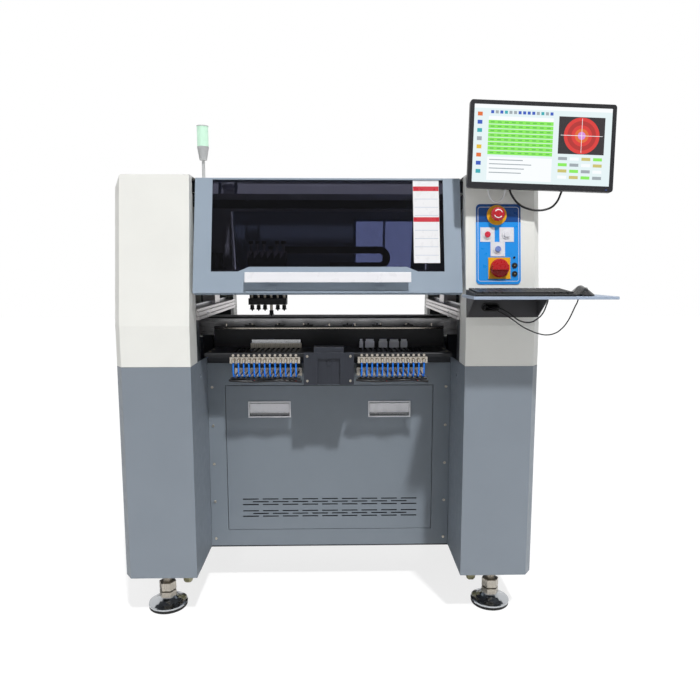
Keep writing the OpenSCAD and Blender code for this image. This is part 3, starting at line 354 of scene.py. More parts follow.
# %% [markdown]
# Moulded plastic is even in colour but carries a fine spark-eroded texture. Cable jackets are smoother, and
# the air tubes let a little light in under the surface.

# %% Plastics and rubber
def moulded(name, colour, roughness, texture=0.3, size=1400, coat=0.0):
    """Injection-moulded plastic."""
    finish, tree, shader = start_finish(name, colour, roughness)
    shader.inputs["Coat Weight"].default_value = coat
    shader.inputs["Coat Roughness"].default_value = 0.12
    cloud = grain(tree, 25, 3)
    tint(tree, cloud, shader.inputs["Base Color"], tuple(c * 0.93 for c in colour),
         tuple(min(1, c * 1.05) for c in colour))
    smoother = max(0.05, roughness - 0.06)
    vary(tree, grain(tree, 180, 3), shader.inputs["Roughness"], smoother, roughness + 0.06)
    relief(tree, shader, grain(tree, size, 1), texture, 0.00004)
    return finish


key_black = moulded("key_black", paint(24, 25, 28), 0.5, 0.5)
mouse_black = moulded("mouse_black", paint(17, 18, 22), 0.22, 0.05, coat=0.5)
monitor_black = moulded("monitor_black", paint(38, 38, 42), 0.36, 0.25)
chain_black = moulded("chain_black", paint(16, 16, 18), 0.45)
port_black = moulded("port_black", paint(20, 20, 22), 0.4)
rubber_black = moulded("rubber_black", paint(19, 19, 20), 0.75, 0.8, 700)
belt_black = moulded("belt_black", paint(26, 27, 26), 0.7, 0.6, 900)
cable_black = moulded("cable_black", paint(22, 22, 24), 0.4, 0.15)
cable_white = moulded("cable_white", paint(226, 226, 228), 0.4, 0.15)
tie_black = moulded("tie_black", paint(15, 15, 16), 0.45, 0.2)
wire_red = moulded("wire_red", paint(150, 22, 26), 0.35, 0.1)
wire_black = moulded("wire_black", paint(20, 20, 22), 0.35, 0.1)
tread_cream = moulded("tread_cream", paint(206, 201, 160), 0.4, 0.3)
stop_red = moulded("stop_red", paint(196, 20, 38), 0.24, 0.04, coat=0.6)
knob_red = moulded("knob_red", paint(190, 16, 24), 0.28, 0.06, coat=0.4)
ring_yellow = moulded("ring_yellow", paint(236, 172, 22), 0.38, 0.1)
plate_yellow = moulded("plate_yellow", paint(240, 178, 20), 0.36, 0.12)
button_white = moulded("button_white", paint(232, 232, 238), 0.3, 0.05)
button_red = moulded("button_red", paint(214, 50, 74), 0.3, 0.05)
button_blue = moulded("button_blue", paint(120, 140, 205), 0.3, 0.05)
mark_white = moulded("mark_white", paint(238, 238, 240), 0.4, 0.05)
valve_white = moulded("valve_white", paint(226, 228, 232), 0.35, 0.15)


def tube_plastic(name, colour):
    """Polyurethane air tube, a little milky."""
    finish, tree, shader = start_finish(name, colour, 0.28)
    shader.inputs["Subsurface Weight"].default_value = 0.15
    shader.inputs["Subsurface Scale"].default_value = 0.002
    tint(tree, grain(tree, 30, 2), shader.inputs["Base Color"], tuple(c * 0.88 for c in colour), colour)
    relief(tree, shader, grain(tree, 1500, 1), 0.1, 0.00002)
    return finish


tube_blue = tube_plastic("tube_blue", paint(28, 128, 240))

# %% [markdown]
# The hood's window is a sheet of smoked acrylic. It is glass that soaks up most of the light, so the
# inside shows only where something bright stands behind it. The rear sheet is tinted bluer.
# Light that goes through a thin sheet is not bent in any way that shows, so its index is kept low.

# %% Smoked acrylic
def acrylic(name, colour):
    """A tinted clear sheet."""
    finish, tree, shader = start_finish(name, colour, 0.03)
    shader.inputs["Transmission Weight"].default_value = 1.0
    shader.inputs["IOR"].default_value = 1.25
    tint(tree, grain(tree, 5, 2), shader.inputs["Base Color"], tuple(c * 0.9 for c in colour), colour)
    vary(tree, grain(tree, 30, 3), shader.inputs["Roughness"], 0.015, 0.045)
    return finish


window_smoke = acrylic("window_smoke", (0.13, 0.13, 0.19))
window_blue = acrylic("window_blue", (0.55, 0.66, 1.0))


# %% [markdown]
# The light tower's lens is milky plastic with a lamp inside. A soft emission gives the look without
# lighting the room.

# %% Glowing plastic
def glowing(name, colour, strength, roughness=0.3):
    """A surface that is lit from behind."""
    finish, tree, shader = start_finish(name, colour, roughness)
    shader.inputs["Emission Color"].default_value = (*colour, 1)
    shader.inputs["Emission Strength"].default_value = strength
    tint(tree, grain(tree, 30, 2), shader.inputs["Base Color"], tuple(c * 0.92 for c in colour), colour)
    return finish


lens_glow = glowing("lens_glow", paint(196, 232, 210), 0.32)

# %% [markdown]
# The switch panel is a printed film. It is azure with a dark blue head and a thin white line near its
# edge. The print follows the panel's height, so a mask on the height separates the two blues.

# %% Printed panel film
panel_low, panel_high = mm_box("control_panel")
HEAD_FROM = panel_low.z + 0.775 * (panel_high.z - panel_low.z)


def printed_film(name, lower, upper, border):
    """A glossy film in two colours, split at a height."""
    finish, tree, shader = start_finish(name, lower, 0.32)
    where = tree.nodes.new("ShaderNodeTexCoord")
    parts = tree.nodes.new("ShaderNodeSeparateXYZ")
    above = tree.nodes.new("ShaderNodeMath")
    above.operation = "GREATER_THAN"
    above.inputs[1].default_value = border * MM
    tree.links.new(where.outputs["Object"], parts.inputs["Vector"])
    tree.links.new(parts.outputs["Z"], above.inputs[0])
    tint(tree, above.outputs["Value"], shader.inputs["Base Color"], lower, upper)
    vary(tree, grain(tree, 60, 3), shader.inputs["Roughness"], 0.26, 0.38)
    relief(tree, shader, grain(tree, 1200, 1), 0.08, 0.00002)
    return finish


panel_blue = printed_film("panel_blue", paint(28, 150, 240), paint(14, 72, 142), HEAD_FROM)

# %% [markdown]
# The screen is lit from behind, so its colours are emitted. Each colour of the picture is one finish.

# %% Screen colours
def pixels(name, colour, strength=0.9):
    """One colour of a lit screen, with the faint grid of its pixels."""
    finish, tree, shader = start_finish(name, (0.01, 0.01, 0.01), 0.3)
    where = tree.nodes.new("ShaderNodeTexCoord")
    wave = tree.nodes.new("ShaderNodeTexWave")
    wave.inputs["Scale"].default_value = 600
    tree.links.new(where.outputs["Object"], wave.inputs["Vector"])
    between = tuple(c * 0.96 for c in colour)
    tint(tree, wave.outputs["Fac"], shader.inputs["Emission Color"], between, colour)
    shader.inputs["Emission Strength"].default_value = strength
    return finish


screen_pale = pixels("screen_pale", paint(236, 250, 252), 0.95)
screen_white = pixels("screen_white", paint(250, 253, 255), 1.0)
screen_green = pixels("screen_green", paint(146, 248, 96))
screen_row = pixels("screen_row", paint(104, 205, 78))
screen_dark = pixels("screen_dark", paint(52, 48, 52))
screen_red = pixels("screen_red", paint(232, 62, 58))
screen_brown = pixels("screen_brown", paint(190, 52, 50))
screen_orange = pixels("screen_orange", paint(238, 116, 54))
screen_pink = pixels("screen_pink", paint(228, 150, 232))
screen_sand = pixels("screen_sand", paint(214, 204, 120))
screen_grey = pixels("screen_grey", paint(168, 178, 184))
screen_blue = pixels("screen_blue", paint(60, 96, 200))
screen_yellow = pixels("screen_yellow", paint(240, 200, 60))
screen_teal = pixels("screen_teal", paint(60, 180, 190))
# %% [markdown]
# ## Cables
# Four thin cables show. The keyboard's and the mouse's leave an oval hole in the tray's bracket, hang
# in a loop under the tray and rise to its underside. Two more hang under the monitor, and both of
# their ends go back up behind its frame. Each is one smooth curve of its real length.

# %% Cables and their routes
ROUTES = {
    "keyboard_cable": [
        (478, 6, 954), (486, -6, 953.5), (496, -17, 951), (507, -24, 945), (517, -31, 938),
        (527, -37, 930), (538, -41, 921.5), (550, -46, 916), (563, -49, 914), (577, -52, 916),
        (589, -55, 924), (599, -58, 934), (606, -60, 946), (611, -61, 960), (615, -62, 974),
        (616, -62, 987.7)],
    "mouse_cable": [
        (462, 6, 954), (474, -20, 951), (492, -34, 941), (520, -42, 924), (546, -48, 905),
        (570, -54, 892), (594, -60, 883), (616, -65, 880), (638, -70, 886), (655, -74, 900),
        (667, -78, 918), (676, -81, 938), (684, -84, 960), (690, -86, 975), (692, -86, 987.7)],
    "monitor_signal_cable": [
        (459, 24, 1322.3), (459, 24, 1313), (459, 24, 1303), (459, 24, 1293), (460.5, 25, 1283),
        (463, 25, 1274), (467.5, 25, 1265), (474, 25, 1258), (483.5, 25, 1255), (493, 25, 1257),
        (500, 25, 1263.5), (504.5, 25, 1272), (507, 25, 1282), (508, 24, 1292), (508, 24, 1302),
        (508, 24, 1311), (508, 24, 1320.7)],
    "monitor_power_cable": [
        (520, 24, 1320.3), (520, 24, 1307), (521, 24, 1293), (525.5, 25, 1279.5), (532.5, 25, 1268),
        (541.5, 26, 1257), (552, 26, 1248), (564, 26, 1241), (577, 26, 1236.5), (591, 26, 1233),
        (605, 26, 1232), (618, 26, 1232.5), (632, 26, 1235.5), (645, 26, 1241), (655, 25.5, 1250),
        (663, 25, 1262), (668, 25, 1274.5), (672, 24, 1288), (673, 24, 1302), (673, 24, 1315.2)]}
CABLES = [("keyboard_cable", 4.0, cable_black, "machine", "cable_black"),
          ("mouse_cable", 3.5, cable_black, "machine", "cable_black"),
          ("monitor_signal_cable", 5.0, cable_white, "monitor", "cable_white"),
          ("monitor_power_cable", 6.0, cable_black, "monitor", "cable_black")]
for node, diameter, finish, body, slot in CABLES:
    route = [at(*point) for point in ROUTES[node]]
    cable = tube_curve(node + "_jacket", route, diameter / 2 * MM, finish, body)
    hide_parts(node)

# %% [markdown]
# ## Dressing the frame's parts
# A part of the frame often holds more than one material, such as an alloy rail with its rubber belt.
# `dress` looks at the middle of each face, in the maker's millimetres, and gives it the first finish
# whose rule holds. The last finish has no rule and takes what is left.

# %% Finishes by place
ORIGIN = at(0, 0, 0)


def dress(node, *choices):
    """Sets a part's finishes face by face."""
    mesh = nodes[node].data
    mesh.materials.clear()
    for finish, _ in choices:
        mesh.materials.append(finish)
    counts = [0] * len(choices)
    for face in mesh.polygons:
        middle = (face.center - ORIGIN) / MM
        for index, (_, rule) in enumerate(choices):
            if rule is None or rule(middle):
                face.material_index = index
                counts[index] += 1
                break
    print(node, counts)


def soften(node, width=0.8, segments=2):
    """Breaks a part's sharp edges by a small radius, as folding and deburring do."""
    piece = nodes[node]
    weld = piece.modifiers.new("weld", "WELD")
    weld.merge_threshold = 0.00001
    flat = piece.modifiers.new("flat faces", "DECIMATE")
    flat.decimate_type = "DISSOLVE"
    flat.angle_limit = math.radians(0.5)
    flat.delimit = {"MATERIAL"}
    edge = piece.modifiers.new("broken edges", "BEVEL")
    edge.width = width * MM
    edge.segments = segments
    edge.limit_method = "ANGLE"
    edge.angle_limit = math.radians(30)
    edge.harden_normals = True
    edge.use_clamp_overlap = True


# %% [markdown]
# The covers, doors, hoods and brackets are sheet metal with powder coat. Sheet is folded round a
# radius of about its own thickness, so their edges get a small one.

# %% Sheet metal
POCKET_X = 198
BAY_Y = mm_box("door_surrounds")[0].y


def from_end(p):
    """Distance of a point from the nearer of the covers' front and rear."""
    return min(p.y, DEPTH - p.y)


def in_pocket(p):
    """True inside the recesses behind the door's two handles."""
    across = abs(abs(p.x) - POCKET_X) < 66.5
    return across and BAY_Y + 0.5 < p.y < BAY_Y + 32.5 and 582 < p.z < 628


for node, finish in {
        "base_frame": frame_grey, "left_lower_cover": cover_grey, "right_lower_cover": cover_grey,
        "left_upper_cover": cover_white, "right_upper_cover": cover_white, "top_panel": cover_white,
        "door_surrounds": door_grey, "rear_door": door_grey, "front_hood": hood_grey,
        "tray_bracket": bracket_grey, "keyboard_tray": tray_grey, "monitor_arm": bracket_black,
        "monitor_bracket": bracket_black, "machine_bed": bed_black, "feeder_tables": table_black,
        "centre_brackets": bracket_black, "front_hood_handle": handle_white}.items():
    dress(node, (finish, None))
    soften(node)
dress("front_door", (pocket_chrome, in_pocket), (door_grey, None))
HANDLE_REAR = DEPTH - mm_box("front_hood_handle")[1].y
HOOD_PIN_Y = 96
HOOD_PIN_Z = 1331
HOOD_LEAN = math.radians(13.6)


def on_rear_handle(p):
    """True on the grip that stands off the rear hood."""
    hood_face = DEPTH - HOOD_PIN_Y + (HOOD_PIN_Z - p.z) * math.tan(HOOD_LEAN)
    return p.y > HANDLE_REAR + 1 and abs(p.x) < 240 and p.z < 1052 and p.y > hood_face + 2


dress("rear_hood", (handle_white, on_rear_handle), (hood_grey, None))
dress("left_handle_flap", (handle_white, None))
dress("right_handle_flap", (handle_white, None))
dress("front_hood_window", (window_smoke, None))
dress("rear_hood_window", (window_blue, None))

# %% [markdown]
# Inside are ground guides on drawn alloy beams, belts on the conveyor rails and black machined blocks.

# %% Beams, rails and head
BEAM_TOP = 945
BELT_LOW = 885.2
BELT_TOP = 887.8
dress("y_beams", (guide_steel, lambda p: p.z > BEAM_TOP + 0.1), (beam_alloy, None))
dress("conveyor_fixed_rail",
      (belt_black, lambda p: 338 < p.y < 350 and BELT_LOW < p.z < BELT_TOP),
      (guide_steel, lambda p: 345 < p.y < 581 and abs(abs(p.x) - 340) < 9 and p.z < 870),
      (track_alloy, None))
dress("conveyor_moving_rail",
      (belt_black, lambda p: 535 < p.y < 546 and BELT_LOW < p.z < BELT_TOP),
      (track_alloy, None))
dress("width_screw", (screw_steel, None))
dress("camera_and_nozzle_rack", (head_black, lambda p: p.x < 0), (nut_nickel, None))
GANTRY = mm_box("gantry_beam")
CHAIN_LOW = max(GANTRY[1].z - 60, 1063.1)
dress("gantry_beam",
      (chain_black, lambda p: p.z > CHAIN_LOW and p.x < -300),
      (cross_steel, lambda p: p.y < GANTRY[0].y + 9 and 980 < p.z < 1060 and abs(p.x) < 385),
      (beam_alloy, None))
dress("cable_chain", (chain_black, None))
dress("head_body", (nut_nickel, lambda p: p.z > 1112.5), (head_black, None))
for number in range(1, 7):
    low = mm_box(f"nozzle_{number}")[0].z
    dress(f"nozzle_{number}", (nut_nickel, lambda p, low=low: 21 < p.z - low < 232), (head_black, None))

# %% [markdown]
# The feeder tables carry brass and nickel fittings, blue air tubes and small white valves.

# %% Feeder fittings
dress("air_fittings",
      (valve_white, lambda p: p.z > 808.1 and p.x > 0),
      (guide_steel, lambda p: p.z > 823.1),
      (nut_nickel, lambda p: p.z > 808.1 or 721 < p.z < 749),
      (bracket_black, lambda p: 776 < p.z < 797 and 108.1 <= from_end(p) <= 128.1),
      (fitting_brass, lambda p: p.z < 783 and from_end(p) < 108),
      (fitting_nickel, None))
dress("feeder_tubes",
      (tie_black, lambda p: 722 < p.z < 732.1 and 109 < from_end(p) < 121),
      (tube_blue, None))

# %% [markdown]
# The operator's station: a printed panel with bought-in switches, a monitor, a keyboard and a mouse.

# %% Operator's station
dress("control_panel", (panel_blue, None))
dress("panel_fittings",
      (ring_yellow, lambda p: p.z > 1185),
      (button_white, lambda p: p.z > 1100 and p.x < 538),
      (plate_yellow, lambda p: abs(p.x - 497) < 32.5 and abs(p.z - 1066) < 32 and p.y < 26),
      (port_black, None))
dress("estop_button", (stop_red, None))
dress("start_button", (button_white, None))
dress("stop_button", (button_red, None))
dress("reset_button", (button_blue, None))
dress("isolator_knob", (knob_red, None))
dress("monitor", (monitor_black, None))
dress("keyboard", (key_black, None))
dress("mouse", (mouse_black, None))
for node in ("keyboard", "mouse"):
    soften(node, 0.6)
soften("monitor", 1.2, 3)

# %% [markdown]
# The light tower's lens glows. The feet are chromed bells on rubber pads, with plated stems and nuts,
# and the casters have cream treads.

# %% Light tower, feet and casters
LENS_LOW = 1467
LENS_TALL = 64
dress("light_tower", (lens_glow, lambda p: LENS_LOW < p.z < LENS_LOW + LENS_TALL),
      (tower_white, None))
FOOT_X = 515
FOOT_Y = 90
dress("levelling_feet", (rubber_black, lambda p: p.z < 9.9), (foot_chrome, lambda p: p.z < 35.1),
      (nut_nickel, None))
dress("caster_forks", (nut_nickel, None))
for corner in ("fl", "fr", "rl", "rr"):
    dress(f"caster_wheel_{corner}", (tread_cream, None))

# %% [markdown]
# ## Small trim
# The hood, the sloping cover and the monitor each lean. A matrix for each lets the trim on them be
# drawn flat, with X to the right and Z up the face, and be set down leaning.

# %% Leaning faces
LEAN = math.atan(58 / 434)
SLOPE_Z = 901
HOOD_FACE = Matrix.Translation(at(0, HOOD_PIN_Y, HOOD_PIN_Z)) @ Matrix.Rotation(-HOOD_LEAN, 4, "X")
SLOPE_FACE = Matrix.Translation(at(BAY, 0, SLOPE_Z)) @ Matrix.Rotation(-LEAN, 4, "X")
SCREEN_FACE = (Matrix.Translation(at(605, 50, 1405)) @ Matrix.Rotation(math.radians(-4), 4, "X")
               @ Matrix.Rotation(math.radians(1.9), 4, "Y"))


def up(z):
    """Distance up the sloping cover of a height above the floor."""
    return (z - SLOPE_Z) / math.cos(LEAN)


def flat_block(bm, x0, z0, x1, z1, front, back, finish=0, bevel=0.0):
    """A thin block drawn on a face, from its back to its front, in millimetres."""
    low = Vector((min(x0, x1), front, min(z0, z1))) * MM
    high = Vector((max(x0, x1), back, max(z0, z1))) * MM
    return add_block(bm, low, high, bevel * MM, finish)


def set_down(bm, face):
    """Leans everything in a bmesh with its face."""
    bmesh.ops.transform(bm, matrix=face, verts=bm.verts)


# %% [markdown]
# A printed sheet is stuck to the window's right side. It is left without any words or signs: white,
# with two red bands and thin grey lines between its fields.

# %% Sheet on the window
bm = bmesh.new()
flat_block(bm, 251, -256, 328, -5, 2.6, 3.0)
for top in (24, 118):
    flat_block(bm, 251.5, -top - 14, 327.5, -top, 2.4, 2.7, 1)
for down in (62, 87, 112, 157, 182, 207, 232):
    flat_block(bm, 255, -down - 1, 324, -down, 2.45, 2.7, 2)
set_down(bm, HOOD_FACE)
add_piece("window_sheet", bm, "front_hood", [sticker_white, sticker_red, tray_grey])

# %% [markdown]
# The screen shows a plain working picture: a bar of small buttons, a green table, and a camera view
# with a ringed nozzle and a cross. It is drawn in shares of the screen's width and height.

# %% Picture on the screen
SCREEN = (-195.5, 110.0, 391.0, 216.0)
bm = bmesh.new()
colours = [screen_pale, screen_white, screen_green, screen_row, screen_dark, screen_red, screen_brown,
           screen_orange, screen_pink, screen_sand, screen_grey, screen_blue, screen_yellow, screen_teal]


def pane(u0, v0, u1, v1, colour, level):
    """A rectangle on the screen, counted from its upper left corner."""
    left, top, wide, high = SCREEN
    front = -43.5 - 0.08 * level
    flat_block(bm, left + u0 * wide, top - v1 * high, left + u1 * wide, top - v0 * high, front, front + 0.1,
               colours.index(colour))


def ring(u, v, radius, colour, level):
    """A disc on the screen, with its radius as a share of the width."""
    left, top, wide, high = SCREEN
    middle = Vector((left + u * wide, -43.5 - 0.08 * level, top - v * high)) * MM
    back = middle + Vector((0, 0.1, 0)) * MM
    add_rod(bm, middle, back, radius * wide * MM, 32, finish=colours.index(colour))


pane(0, 0, 1, 1, screen_pale, 1)
pane(0, 0, 1, 0.05, screen_white, 2)
random.seed(4)
for i in range(14):
    button = random.choice([screen_blue, screen_grey, screen_teal])
    pane(0.12 + i * 0.033, 0.075, 0.142 + i * 0.033, 0.115, button, 3)
for i in range(8):
    pane(0.025, 0.1 + i * 0.105, 0.06, 0.15 + i * 0.105,
         [screen_orange, screen_blue, screen_teal, screen_grey, screen_yellow][i % 5], 3)
pane(0.105, 0.15, 0.575, 0.2, screen_white, 2)
for i in range(8):
    pane(0.105, 0.2 + i * 0.056, 0.575, 0.248 + i * 0.056, screen_green, 2)
    for j in range(9):
        pane(0.12 + j * 0.051, 0.216 + i * 0.056, 0.148 + j * 0.051, 0.232 + i * 0.056, screen_row, 3)
pane(0.105, 0.67, 0.575, 0.97, screen_white, 2)
for i in range(4):
    pane(0.12, 0.7 + i * 0.055, 0.12 + random.uniform(0.2, 0.4), 0.712 + i * 0.055, screen_grey, 3)
pane(0.615, 0.12, 0.95, 0.6, screen_dark, 2)
for radius, colour, level in ((0.13, screen_red, 3), (0.105, screen_brown, 4), (0.075, screen_red, 5),
                              (0.05, screen_orange, 6), (0.028, screen_pink, 7)):
    ring(0.783, 0.36, radius, colour, level)
pane(0.7815, 0.14, 0.7845, 0.58, screen_white, 8)
pane(0.63, 0.357, 0.935, 0.363, screen_white, 8)
for i in range(4):
    for j in range(4):
        pane(0.62 + j * 0.085, 0.64 + i * 0.08, 0.685 + j * 0.085, 0.68 + i * 0.08,
             [screen_grey, screen_white, screen_sand, screen_green][(i * 3 + j) % 4], 2)
set_down(bm, SCREEN_FACE)
add_piece("screen_picture", bm, "monitor", colours, smooth=False)
bm = bmesh.new()
for i in range(4):
    flat_block(bm, 120 + i * 14, -117.5, 128 + i * 14, -115.5, -44.6, -43.8, 0, 0.3)
flat_block(bm, 186, -117, 190, -115.5, -44.4, -43.8, 1)
set_down(bm, SCREEN_FACE)
add_piece("monitor_keys", bm, "monitor", [key_black, screen_blue])

# %% [markdown]
# The switch panel has a thin white line inside its edge. The emergency stop carries two curved white
# arrows that show which way it is turned to release it, and each port has a brass pin inside.

# %% Marks on the panel and the emergency stop
bm = bmesh.new()
left, right, bottom, top = 35, 155, up(1028), up(1243)
for x0, z0, x1, z1 in ((left + 8, bottom, right - 8, bottom + 1.2), (left + 8, top - 1.2, right - 8, top),
                       (left, bottom + 8, left + 1.2, top - 8), (right - 1.2, bottom + 8, right, top - 8)):
    flat_block(bm, x0, z0, x1, z1, -2.25, -1.9)
for x, z, turn in ((left + 8, bottom + 8, 180), (right - 8, bottom + 8, 270), (right - 8, top - 8, 0),
                   (left + 8, top - 8, 90)):
    for step in range(6):
        angle = math.radians(turn + 15 * step + 7.5)
        middle = Vector((x + 7.4 * math.cos(angle), -2.07, z + 7.4 * math.sin(angle))) * MM
        verts = add_block(bm, Vector((-0.6, -0.17, -1.05)) * MM, Vector((0.6, 0.17, 1.05)) * MM)
        place = Matrix.Translation(middle) @ Matrix.Rotation(-angle, 4, "Y")
        bmesh.ops.transform(bm, matrix=place, verts=verts)
set_down(bm, SLOPE_FACE)
add_piece("panel_line", bm, "machine", [mark_white])

bm = bmesh.new()
ESTOP = Vector((90, 0, up(1219)))
CAP_OUT = 25.15
CAP_FALL = 0.25


def on_cap(radius, angle, out=None):
    """A corner on the push cap, at a radius and an angle round its middle."""
    if out is None:
        out = CAP_OUT - CAP_FALL * (radius - 9)
    spot = Vector((radius * math.cos(angle), -out, radius * math.sin(angle)))
    return bm.verts.new((ESTOP + spot) * MM)


for start in (20, 200):
    angles = [math.radians(start + step * 9) for step in range(13)]
    inner, outer = [[on_cap(radius, angle) for angle in angles] for radius in (10.4, 12.8)]
    for i in range(12):
        bm.faces.new((inner[i], inner[i + 1], outer[i + 1], outer[i]))
    wings = [on_cap(radius, angles[-1]) for radius in (9.2, 14.0)]
    tip = on_cap(11.6, angles[-1] + math.radians(22), 24.5)
    bm.faces.new((wings[0], tip, wings[1]))
bmesh.ops.solidify(bm, geom=list(bm.faces), thickness=0.0002)
set_down(bm, SLOPE_FACE)
add_piece("estop_arrows", bm, "estop_button", [mark_white])

bm = bmesh.new()
for x, z in ((142, up(1074)), (142, up(1050))):
    add_rod(bm, Vector((x, -4.6, z)) * MM, Vector((x, -3.9, z)) * MM, 5.5 * MM, 24, finish=0)
    add_rod(bm, Vector((x, -5.2, z)) * MM, Vector((x, -4.4, z)) * MM, 1.8 * MM, 16, finish=1)
set_down(bm, SLOPE_FACE)
add_piece("port_pins", bm, "machine", [port_black, fitting_brass])

# %% [markdown]
# Screws hold most pieces on. Each is a low cylinder with a chamfered rim and a round socket, sunk a little
# into its seat, as assembled machines have them.

# %% Screws
def screws(name, places, normal, radius, body, finish, height=2.0):
    """Socket-head screws in a row of places, all facing one way."""
    bm = bmesh.new()
    out = Vector(normal).normalized()
    outline = [(radius, 0), (radius, height - 0.4), (radius - 0.4, height), (radius * 0.5, height),
               (radius * 0.45, height * 0.4), (0, height * 0.4)]
    profile = [(r * MM, h * MM) for r, h in outline]
    for place in places:
        foot = at(*place) - out * 0.3 * MM
        add_turned(bm, profile, facing(foot, out), 20)
    print(name, len(places))
    return add_piece(name, bm, body, [finish])


screws("guide_screws", [(side * (BAY + 30), y, 955) for side in (-1, 1) for y in range(130, 760, 60)],
       (0, 0, 1), 3.2, "machine", screw_steel, 0.45)
screws("bracket_screws", [(x, 88, z) for x in (-66, 66) for z in (724, 800)], (0, -1, 0), 4, "machine",
       nut_nickel)
screws("surround_screws", [(x, 226, z) for x in (-385, 385) for z in range(160, 700, 130)], (0, -1, 0), 4.5,
       "machine", nut_nickel, 1.8)
screws("table_screws", [(x, y, 808) for x in (-370, -40, 40, 370) for y in (140, 200)], (0, 0, 1), 4,
       "machine", nut_nickel)
screws("beam_screws", [(x, 95, z) for x in (-365, 365) for z in (922, 934)], (0, -1, 0), 3,
       "machine", screw_steel)

# %% [markdown]
# The door's handles are light pressed frames round a chromed pocket. Two black sheets, one on the cabinet's
# floor and one standing just behind the door, are painted shade: they make the louvres show dark.

# %% Handle frames and painted shade behind the louvres
bm = bmesh.new()
for x in (-POCKET_X, POCKET_X):
    for x0, z0, x1, z1 in ((x - 70, 578, x + 70, 582.5), (x - 70, 627.5, x + 70, 632),
                           (x - 70, 582, x - 66, 628), (x + 66, 582, x + 70, 628)):
        add_block(bm, at(x0, 224, z0), at(x1, 227, z1), 0.5 * MM)
add_piece("handle_frames", bm, "machine", [handle_white])
# Painted shade: black sheets on the cabinet's floor and just behind the door keep the louvres dark.
bm = bmesh.new()
add_block(bm, at(-396, 250, 183), at(396, 620, 185), 0.3 * MM)
add_block(bm, at(-396, 262, 185), at(396, 264, 700), 0.3 * MM)
add_piece("cabinet_shade_sheets", bm, "machine", [bed_black])

# %% [markdown]
# Along the feeder table's back edge sit the clips that hold the tape covers, with a bright strip below
# them. Thin red and black wires loop from the valve block to a bundle below the tubes.

# %% Clips, strip and wires
bm = bmesh.new()
for x in (-262, -165, -70, 60, 158, 262):
    add_block(bm, at(x - 16, 258, 876), at(x + 16, 276, 882), 1 * MM)
    add_block(bm, at(x - 3, 256, 880), at(x + 3, 262, 888), 1 * MM)
for x in range(-340, 341, 85):
    add_rod(bm, at(x, 266, 877), at(x, 266, 886), 3.5 * MM, 16, finish=1)
add_block(bm, at(-378, 261.2, 868), at(378, 262.2, 873), 0.2 * MM, 1)
add_piece("edge_clips", bm, "machine", [head_black, fitting_nickel])
random.seed(9)
TUBE_X = [bank + (i - 6) * 16 for bank in (-197, 197) for i in range(13)]
for index, x in enumerate(TUBE_X):
    drop = random.uniform(-2, 2)
    route = [at(x + 4, 202, 738), at(x + 4, 180, 733 + drop), at(x + 6, 150, 722 + drop),
             at(x + 9, 122, 717), at(x + 15, 110, 721 + drop)]
    tube_curve(f"valve_wire_{index + 1}", route, 1.1 * MM, wire_red if index % 2 else wire_black, "machine",
               6)
for side, bank in (("left", -197), ("right", 197)):
    route = [at(bank + k, 112 - 4 * math.sin(k / 17), 720 + 2 * math.sin(k / 23))
             for k in range(-112, 113, 28)]
    tube_curve(f"wire_bundle_{side}", route, 4 * MM, cable_black, "machine")

# %% [markdown]
# The adjusting stems of the feet are threaded. A real thread is a helix; rings at its pitch look the
# same at this size and cost far less. A rubber grommet lines the cable hole in the tray's bracket.

# %% Foot threads and grommet
THREAD_PITCH = 2.5
THREAD = [(11.8 * MM, 0), (12.9 * MM, 0.9 * MM), (12.9 * MM, 1.3 * MM), (11.8 * MM, 2.2 * MM)]
bm = bmesh.new()
for x in (-FOOT_X, FOOT_X):
    for y in (FOOT_Y, DEPTH - FOOT_Y):
        for turn in range(8):
            z = 83 + turn * THREAD_PITCH
            add_turned(bm, THREAD, Matrix.Translation(at(x, y, z)), 24)
add_piece("foot_threads", bm, "machine", [nut_nickel])

bm = bmesh.new()
HOLE_LEFT = 56
HOLE_RIGHT = 84
HOLE_R = 10
HOLE_Z = 954
OVAL = [(HOLE_RIGHT, 0, 90), (HOLE_LEFT, 90, 270), (HOLE_RIGHT, 270, 360)]
rim = [(x + HOLE_R * math.cos(math.radians(a)), HOLE_R * math.sin(math.radians(a)))
       for x, a0, a1 in OVAL for a in range(a0, a1 + 1, 15)]
loops = []
for grow, out in ((-1.5, -6.2), (2.5, -6.2), (2.5, -4.0), (-1.5, -4.0)):
    ring_verts = []
    for x, z in rim:
        middle = min(max(x, HOLE_LEFT), HOLE_RIGHT)
        away = Vector((x - middle, z)).normalized() * (HOLE_R + grow)
        corner = Vector((middle + away.x, out, up(HOLE_Z) + away.y))
        ring_verts.append(bm.verts.new(corner * MM))
    loops.append(ring_verts)
for a, b in zip(loops, loops[1:] + loops[:1]):
    for i in range(len(rim)):
        j = (i + 1) % len(rim)
        bm.faces.new((a[i], a[j], b[j], b[i]))
set_down(bm, SLOPE_FACE)
add_piece("cable_grommet", bm, "machine", [rubber_black])

# %% [markdown]
# ## Light and floor
# The machine stands on a pale floor in front of white. The camera and clear sheets see plain white
# behind it, while glossy things mirror a soft studio that is darker towards the front, so that
# chrome has something dark to show beside the bright. A sun-like key comes from the upper right.

